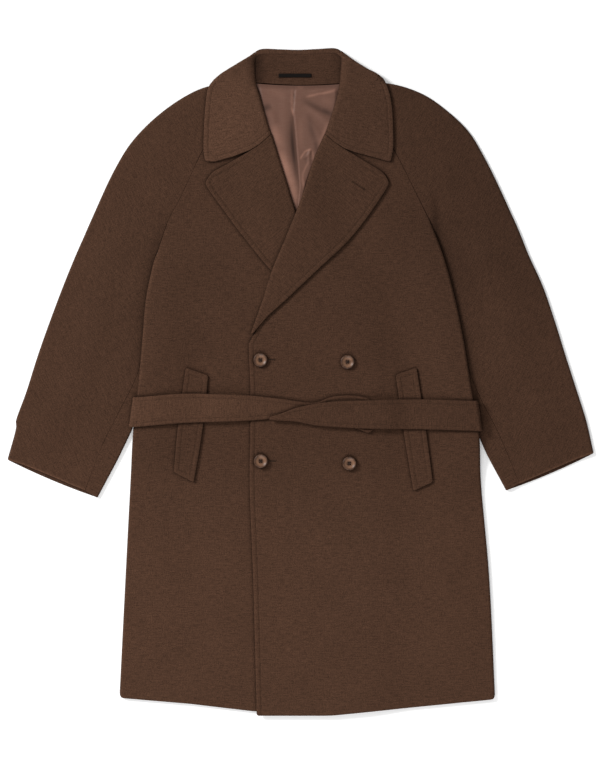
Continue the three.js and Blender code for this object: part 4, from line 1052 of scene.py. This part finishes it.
# Under sleeves, from the outer side to the inner one: start, fold and end points; below the arm the panel turns
# round the fold and ends at the seam on top.
rightUnder = {
    "cloth": "sleeve", "cell": 9, "columns": 60, "reach": 1.8,
    # painted shade along the inner side beside the body's edge
    "seams": {"b": -999}, "tones": [("b", -0.3, 17, 60, 200)],
    "rows": [
        (-98, 500.5, -88, 490, -88, 490, 0, 0, 0), (-151, 498, -113, 458, -113, 458, 0, 0, 0),
        (-193.5, 481.5, -150, 420, -150, 420, 0, 0, 0), (-242, 448.5, -168.3, 392, -168.3, 392, 0, 0, 0),
        (-285, 404.5, -187, 352, -187, 352, 0, 0, 0), (-315.5, 354, -206.9, 309.7, -206.9, 309.7, 0, 0, 0),
        (-345.5, 290.5, -225.5, 275, -225.5, 275, 0, 0, 0), (-367.5, 240, -243, 228, -243, 228, 0, 0, 0),
        (-375.5, 222, -245.2, 212, -248.1, 212, 1, 0, 0), (-386.7, 196.7, -245.5, 187, -252.2, 187, 1, 0, 0),
        (-400.7, 162, -249, 155, -256.7, 155, 1, 0, 0), (-423.7, 100.5, -255, 92, -263.7, 90, 1, 0, 0),
        (-444.5, 41, -264, 14, -277.7, 13.8, 1, 0, 0), (-462.8, -16.5, -275, -50, -304.7, -42.2, 1, 0, 0),
        (-479.8, -72, -303, -115, -334.7, -101.2, 1, 0, 0), (-497, -132.6, -345.5, -196, -366.7, -184, 1, 3, 0),
    ],
}
leftUnder = {
    "cloth": "sleeve", "cell": 9, "columns": 60, "reach": 1.8,
    # painted shade along the inner side beside the body's edge
    "seams": {"b": -999}, "tones": [("b", -0.3, 15, 40, 235)],
    "rows": [
        (91, 499.5, 81, 487, 81, 487, 0, 0, 0), (142.5, 503, 110, 455, 110, 455, 0, 0, 0),
        (203.5, 487, 145, 420, 145, 420, 0, 0, 0), (244.5, 460.5, 166.9, 382.2, 166.9, 382.2, 0, 0, 0),
        (282.5, 425, 184, 348, 184, 348, 0, 0, 0), (311, 378.5, 200, 316, 200, 316, 0, 0, 0),
        (337.8, 324, 215, 286, 215, 286, 0, 0, 0), (355.8, 284, 224.8, 266, 224.8, 266, 0, 0, 0),
        (362.6, 269.5, 226, 255, 228.3, 256.5, 1, 0, 0), (372.6, 245.5, 228, 231, 234.2, 231, 1, 0, 0),
        (384.2, 216.5, 235, 206, 242.7, 206, 1, 0, 0), (408.7, 162.5, 248, 150, 256.2, 150, 1, 0, 0),
        (428.7, 105, 261, 94, 269.7, 95, 1, 0, 0), (447.7, 43.5, 273, 30, 284.2, 28, 1, 0, 0),
        (465.7, -12.5, 285, -37, 307.7, -30.2, 1, 0, 0), (482.7, -67, 310, -107, 335.7, -83.2, 1, 0, 0),
        (497.4, -121.6, 350, -184, 372.7, -172, 1, 3, 0),
    ],
}


def shadeCuffInside(piece, points, across):
    # the inside faces from just above the cuff's edge on are lining, coloured near black as painted shade inside the
    # cuff, as far as three columns before the turn
    mesh = piece.data
    mesh.materials.append(sleeveLiningShade)
    rows, columns = points.shape[:2]
    row = np.repeat(np.arange(rows - 1), columns - 1)
    column = np.tile(np.arange(columns - 1), rows - 1)
    inside = (row < rows - 3) & (row > rows - 12) & (column < len(plainEdge) + turnColumns[0] * across - 3)
    index = np.zeros(len(mesh.polygons), np.int32)
    index[:len(inside)] = inside
    mesh.polygons.foreach_set("material_index", index)


def sleeves():
    for side, top, under, facing in (("right", rightSleeve, rightUnder, 1), ("left", leftSleeve, leftUnder, -1)):
        piece, points, flat = turnedPanel(f"coat_{side}_sleeve_back", under, leafLift, onSleeve, wool, facing)
        shadeCuffInside(piece, points, under["columns"])
        declare(piece, points, flat, f"{side}_sleeve_back")
        plan = panelPlan(top)
        piece, points = clothPanel(f"coat_{side}_sleeve_front", plan, onSleeve, wool, top["grain"])
        declare(piece, points, plan["flat"], f"{side}_sleeve_front")
    print("sleeves")


sleeves()

welts = {
    "rise": 0.5,
    "right": [(-215.4, -152.8, -181.2, -170.2), (-207.7, -70.9, -166, -80), (-194.8, 25.3, -156.4, 11.7)],
    "left": [(225.3, -169.3, 192, -185), (213.5, -81.6, 176, -90), (197.4, 25.8, 161.5, 12.8)],
}


def pocketWelts():
    lifts = []
    for side, base, under in (("right", onFront, "coat_right_front"), ("left", onOverlap, "coat_left_front")):
        plan = panelPlan({
            "cloth": "welt", "cell": 7, "stitched": "abse", "rows": welts[side],
            "corners": {"as": 4, "ae": 4, "bs": 3, "be": 3}})
        piece, points = clothPanel(f"coat_{side}_welt", plan, stack(base, level(welts["rise"])), wool)
        declare(piece, points, plan["flat"], f"{side}_pocket_welt")
        lifts.append(liftOf(plan, welts["rise"]))
    return stack(*lifts)


onWelts = pocketWelts()
print("pocket welts")

# The belt: from its tip on top, round the left side, under the back, round the right side and on under its own tip.
belt = {
    "right": [
        (-270, -24.5, -75), (-198.7, -19, -69), (-138, -20, -67), (-77.4, -22.8, -64.3), (-52, -25.5, -62),
        (-30, -28, -59), (25, -34, -62), (52, -24.5, -68), (80, -21.8, -74), (104, -24, -82), (116, -28, -85.5), (126, -38, -77), (131, -52, -65),
    ],
    "left": [
        (-52.7, -58.5, -63.5), (-34, -53, -65), (-9, -43.5, -66.5), (25.2, -36, -73), (60, -32, -76),
        (112.4, -30.4, -78.5), (203.5, -28.6, -79.7), (288, -31, -82),
    ],
    "rightEnd": (-284.5, -291.5, -25, -76), "leftEnd": (301.5, 309, -31, -83), "reach": 4.2,
    "stitch": 7.0, "steps": 110, "bendSteps": 16, "backSteps": 60,
}


def strandEdges(table, steps):
    table = np.array(table, float)
    stations = np.linspace(0, len(table) - 1, steps)
    return railAt(table[:, [0, 1]], stations), railAt(table[:, [0, 2]], stations)


def makeBelt():
    middle = wall["belt"] / 2
    overFronts = stack(onLining, liftOf(rightFrontPlan), liftOf(leftFrontPlan), onWelts)
    tail = np.array([row for row in belt["right"] if row[0] > -70], float)
    tailOutline = np.concatenate([tail[:, [0, 1]], tail[::-1][:, [0, 2]]])

    def overTail(x, y):
        return overFronts(x, y) + (wall["belt"] + layerGap) * fade(distanceOutside(tailOutline, x, y), 6, 45)

    offsets = np.array([0, 0.3, 0.8, 1.8, 3.4, 5.2, 6.2, belt["stitch"], 7.8, 9.0, 11.5, 15])
    inner = np.linspace(0, 1, 5)[1:-1]

    def across(width):
        # distances from the lower edge, the near ones squeezed where the strip is narrow
        squeeze = np.minimum(1, 0.47 * width / offsets[-1])[:, None]
        width = width[:, None]
        near = offsets[None, :] * squeeze
        return np.concatenate([near, near[:, -1:] + (width - 2 * near[:, -1:]) * inner[None, :], (width - near)[:, ::-1]], axis=1)

    sections = []

    def addSections(top, bottom, height):
        width = np.hypot(*(top - bottom).T)
        distance = across(width)
        u = distance / width[:, None]
        x = bottom[:, 0:1] + (top - bottom)[:, 0:1] * u
        y = bottom[:, 1:2] + (top - bottom)[:, 1:2] * u
        sections.append(np.stack([x, y, height(x, y), distance, width[:, None] - distance], axis=2))

    def bend(end, start, finish):
        outerTop, outerBottom, top, bottom = end
        sign = math.copysign(1, outerTop)
        back = sign * (belt["reach"] + middle)
        angle = math.pi * (np.linspace(0, 1, belt["bendSteps"]) - 0.5)
        out = sign * belt["reach"] * np.cos(angle) - back
        tops = np.stack([outerTop + out, top + 0 * out], axis=1)
        bottoms = np.stack([outerBottom + out, bottom + 0 * out], axis=1)

        def height(x, y):
            shift = (out + back)[:, None]
            low, high = start(x - shift, y), finish(x - shift, y)
            return (low + high) / 2 + (high - low) / 2 * np.sin(angle)[:, None]
        addSections(tops, bottoms, height)

    top, bottom = strandEdges(belt["left"], belt["steps"])
    addSections(top, bottom, overTail)
    bend(belt["leftEnd"], overFronts, tuckLift)
    k = np.linspace(0, 1, belt["backSteps"])[1:-1, None]
    l, r = belt["leftEnd"], belt["rightEnd"]
    top = (1 - k) * np.array([[l[0] - 8, l[2]]]) + k * np.array([[r[0] + 8, r[2]]])
    bottom = (1 - k) * np.array([[l[1] - 8, l[3]]]) + k * np.array([[r[1] + 8, r[3]]])
    addSections(top, bottom, tuckLift)
    bend(belt["rightEnd"], tuckLift, overFronts)
    top, bottom = strandEdges(belt["right"], belt["steps"])
    addSections(top, bottom, overFronts)
    grid = np.concatenate(sections, axis=0)
    points = grid[..., :3].copy()
    points[..., 2] += middle + ease(points[..., 0], points[..., 1])
    steps = np.concatenate([[0], np.cumsum(np.linalg.norm(np.diff(points[:, 14], axis=0), axis=1))])
    tip, tailEnd = steps[:, None] + 0 * grid[..., 0], (steps[-1] - steps)[:, None] + 0 * grid[..., 0]
    nearest = np.minimum.reduce([grid[..., 3], grid[..., 4], tip, tailEnd])
    half = roundedHalf(nearest, wall["belt"], middle)
    edge = np.minimum.reduce([grid[..., 3], grid[..., 4]])
    groove = sewing["groove"] * np.exp(-((edge - belt["stitch"]) / 1.0) ** 2)
    swell = sewing["swell"] * np.exp(-((edge - belt["stitch"] / 2) / 2.2) ** 2)
    top = (swell - groove) * (half / middle) ** 2 * 0.45
    uv = np.stack([grid[..., 3], tip], axis=2)
    facing = 1 if gridNormals(points)[belt["steps"] // 2, 14, 2] > 0 else -1
    # painted light: the belt is lighter toward the left
    nap = napOf(points[..., 0], points[..., 1]) + 0.24 * fade(points[..., 0], -150, 200)
    piece, upper = shell("coat_belt", points, half, wool, uv, top, facing, nap)
    for column in (7, upper.shape[1] - 8):
        for rows in (slice(10, belt["steps"]), slice(len(upper) - belt["steps"], len(upper) - 6)):
            runs.append(upper[rows, column])
    declare(piece, points, (float(np.max(grid[..., 3])), float(steps[-1])), "belt")


makeBelt()
print("belt")


def capsules(name, starts, ends, radius, material, sides=6):
    # a rod with rounded ends between each pair of points
    along = ends - starts
    length = np.linalg.norm(along, axis=1, keepdims=True)
    along = along / length
    side = np.cross(along, np.array([0.0, 0.0, 1.0]))
    side = side / np.maximum(np.linalg.norm(side, axis=1, keepdims=True), 1e-6)
    rise = np.cross(side, along)
    rings = np.array([(0.0, 0.35), (0.08, 0.85), (0.25, 1.0), (0.75, 1.0), (0.92, 0.85), (1.0, 0.35)])
    turn = np.linspace(0, 2 * math.pi, sides, endpoint=False)
    offset = np.cos(turn)[None, :, None] * side[:, None, :] + np.sin(turn)[None, :, None] * rise[:, None, :]
    vertices = (starts[:, None, None, :] + (along * length)[:, None, None, :] * rings[None, :, 0, None, None]
                + offset[:, None] * rings[None, :, 1, None, None] * radius)
    count = len(rings) * sides
    base = (np.arange(len(starts)) * count)[:, None]
    k, s = np.meshgrid(np.arange(len(rings) - 1), np.arange(sides), indexing="ij")
    k, s = k.ravel()[None], s.ravel()[None]
    n = (s + 1) % sides
    quads = np.stack([base + k * sides + s, base + k * sides + n, base + (k + 1) * sides + n,
                      base + (k + 1) * sides + s], axis=2).reshape(-1, 4)
    caps = np.concatenate([base + np.arange(sides)[None, ::-1], base + (len(rings) - 1) * sides + np.arange(sides)[None]])
    return makeMesh(name, vertices.reshape(-1, 3), [quads, caps], material)


def stitches():
    starts, ends = [], []
    for line in runs:
        steps = np.concatenate([[0], np.cumsum(np.linalg.norm(np.diff(line, axis=0), axis=1))])
        count = int((steps[-1] - sewing["stitch"]) // sewing["pitch"])
        if count < 1:
            continue
        from_ = np.arange(count) * sewing["pitch"]
        starts.append(np.stack([np.interp(from_, steps, line[:, k]) for k in range(3)], axis=1))
        ends.append(np.stack([np.interp(from_ + sewing["stitch"], steps, line[:, k]) for k in range(3)], axis=1))
    starts, ends = np.concatenate(starts), np.concatenate(ends)
    piece = capsules("coat_stitches", starts, ends, sewing["thread"], thread, 5)
    print(f"{len(starts)} stitches")


stitches()

# Four-hole buttons: a rounded rim round a dished middle; the thread crosses between the holes.
button = {
    "diameter": 24.0, "height": 5.0, "seat": 0.3,
    "centres": [(-68, 38.1), (79.9, 34.7), (-67.2, -133.6), (83, -137.5)],
    "profile": [
        (0.0, 2.5), (0.2, 2.55), (0.38, 2.8), (0.54, 3.3), (0.68, 4.05), (0.78, 4.7), (0.85, 5.0), (0.92, 4.8),
        (0.98, 4.0), (1.0, 3.2), (0.98, 2.2), (0.9, 1.1), (0.78, 0.3), (0.7, 0.0), (0.0, 0.0),
    ],
    "holes": 2.6, "holeRadius": 1.15, "holeDepth": 1.7, "rings": 90, "sides": 72, "threadRadius": 0.42,
}
horn = bpy.data.materials.new("horn_brown")


def hornMaterial():
    # polished horn: mottled brown, darker at the rim, lighter in a ring across the dish
    horn.use_nodes = True
    tree = horn.node_tree
    shader = tree.nodes["Principled BSDF"]
    place = addNode(tree, "ShaderNodeTexCoord").outputs["Object"]
    mottle = addNode(tree, "ShaderNodeTexNoise", {"Scale": 210, "Detail": 3, "Roughness": 0.6, "Distortion": 0.8},
                     {"Vector": place}).outputs["Fac"]
    worn = addNode(tree, "ShaderNodeAttribute", attribute_name="worn").outputs["Fac"]
    share = addNode(tree, "ShaderNodeMath", {1: 1.0}, {0: mottle, 2: worn}, operation="MULTIPLY_ADD")
    share = addNode(tree, "ShaderNodeMapRange", {"From Min": 0.5, "From Max": 1.35}, {"Value": share.outputs[0]})
    colour = addNode(tree, "ShaderNodeMix", {6: toLinear("#3A261B"), 7: toLinear("#86624A")},
                     {0: share.outputs["Result"]}, data_type="RGBA")
    tree.links.new(colour.outputs[2], shader.inputs["Base Color"])
    shader.inputs["Roughness"].default_value = 0.38
    shader.inputs["Specular IOR Level"].default_value = 0.27


def makeButtons():
    r = button["diameter"] / 2
    profile = np.array(button["profile"])
    steps = np.concatenate([[0], np.cumsum(np.hypot(np.diff(profile[:, 0]) * r, np.diff(profile[:, 1])))])
    fine = np.linspace(0, steps[-1], button["rings"] + 1)[1:-1]
    radius, height = np.interp(fine, steps, profile[:, 0]) * r, np.interp(fine, steps, profile[:, 1])
    turn = np.linspace(0, 2 * math.pi, button["sides"], endpoint=False)
    x, y = radius[:, None] * np.cos(turn)[None], radius[:, None] * np.sin(turn)[None]
    z = height[:, None] + 0 * x
    onTop = (np.arange(len(fine)) < np.argmax(height < 1.2))[:, None]
    spots = [(sx * button["holes"], sy * button["holes"]) for sx in (-1, 1) for sy in (-1, 1)]
    for sx, sy in spots:
        pit = fade(np.hypot(x - sx * 0.72, y - sy * 0.72), button["holeRadius"] * 0.72, button["holeRadius"] * 0.4)
        z = z - button["holeDepth"] * pit * onTop
    worn = 0.6 * np.exp(-((radius / r - 0.56) / 0.24) ** 2)[:, None] + 0 * x
    body = np.stack([x, y, z], axis=2).reshape(-1, 3)
    middle = np.array([[0, 0, profile[0, 1]], [0, 0, 0]])
    sides, count = button["sides"], len(fine)
    k, s = (grid.ravel() for grid in np.meshgrid(np.arange(count - 1), np.arange(sides), indexing="ij"))
    n = (s + 1) % sides
    quads = np.stack([k * sides + s, (k + 1) * sides + s, (k + 1) * sides + n, k * sides + n], axis=1)
    s = np.arange(sides)
    n = (s + 1) % sides
    topFan = np.stack([s, n, np.full(sides, count * sides)], axis=1)
    low = (count - 1) * sides
    lowFan = np.stack([low + n, low + s, np.full(sides, count * sides + 1)], axis=1)
    for i, (cx, cy) in enumerate(button["centres"]):
        around = np.array([[0, 0], [r, 0], [-r, 0], [0, r], [0, -r]]) + (cx, cy)
        ax, ay = around[:, 0], around[:, 1]
        seat = float(np.max(onOverlap(ax, ay) + ease(ax, ay))) - layerGap + button["seat"]
        centre = np.array([cx, cy, seat])
        piece = makeMesh(f"coat_button_{i + 1}", np.concatenate([body, middle]) + centre, [quads, topFan, lowFan], horn)
        layer = piece.data.attributes.new("worn", "FLOAT", "POINT")
        layer.data.foreach_set("value", np.concatenate([worn.ravel(), [0, 0]]).astype(np.float32))
        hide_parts(f"button_{i + 1}")
        h = button["holes"] * 0.72
        lines = [((-h, -h), (h, h)), ((-h, h), (h, -h))]
        starts, ends = [], []
        for (x0, y0), (x1, y1) in lines:
            for shift in (-0.5, 0.5):
                starts.append((x0 + shift * 0.7, y0 - shift * 0.7 * np.sign(y0 * x0), 2.9))
                ends.append((x1 + shift * 0.7, y1 - shift * 0.7 * np.sign(y0 * x0), 2.9))
        cross = capsules(f"coat_button_thread_{i + 1}", np.array(starts) + centre, np.array(ends) + centre,
                         button["threadRadius"], silk, 8)
    print("buttons")


hornMaterial()
makeButtons()

# Buttonholes beside the left column of buttons, and one on the left lapel.
buttonholes = {
    "list": [(-56.5, 38.9, -44, 38.9, 0), (-55, -133.6, -42.5, -133.6, 0), (89.3, 340.7, 108, 328, 1)],
    "half": 1.0, "radius": 0.32, "slit": 0.42,
}


def faceHeight(x, y, onLapel):
    # the face of the left front, or of the left lapel
    base = onOverlap(x, y) + wall["lapel"] if onLapel else onUnderlap(x, y) + wall["front"]
    return base + ease(x, y)


def makeButtonholes():
    starts, ends, slitStarts, slitEnds = [], [], [], []
    for x0, y0, x1, y1, onLapel in buttonholes["list"]:
        way = np.array([x1 - x0, y1 - y0])
        length = np.hypot(*way)
        way /= length
        side = np.array([-way[1], way[0]])
        count = int(length / 0.95)
        t = (np.arange(count) + 0.5) / count * length
        for sign in (1, -1):
            inner = np.array([[x0, y0]]) + t[:, None] * way + sign * 0.35 * side
            outer = inner + sign * buttonholes["half"] * side
            starts.append(np.column_stack([inner, faceHeight(inner[:, 0], inner[:, 1], onLapel) + 0.1]))
            ends.append(np.column_stack([outer, faceHeight(outer[:, 0], outer[:, 1], onLapel) + 0.1]))
        ring = np.linspace(0, 2 * math.pi, 9)[:-1]
        spread = np.stack([np.cos(ring), np.sin(ring)], axis=1)
        for centre in (np.array([x0, y0]), np.array([x1, y1])):
            inner, outer = centre + 0.5 * spread, centre + 1.9 * spread
            starts.append(np.column_stack([inner, faceHeight(inner[:, 0], inner[:, 1], onLapel) + 0.1]))
            ends.append(np.column_stack([outer, faceHeight(outer[:, 0], outer[:, 1], onLapel) + 0.1]))
        slit = np.array([[x0, y0], [x1, y1]], float)
        z = faceHeight(slit[:, 0], slit[:, 1], onLapel) + 0.25
        if onLapel:
            # an uncut buttonhole: only its eye is dark
            slit[0] = slit[1] - way * 1.6
        slitStarts.append([*slit[0], z[0]])
        slitEnds.append([*slit[1], z[1]])
    piece = capsules("coat_buttonholes", np.concatenate(starts), np.concatenate(ends), buttonholes["radius"], thread, 6)
    slits = capsules("coat_buttonhole_slits", np.array(slitStarts), np.array(slitEnds), buttonholes["slit"], silk, 6)


makeButtonholes()
print("buttonholes")

print("done")
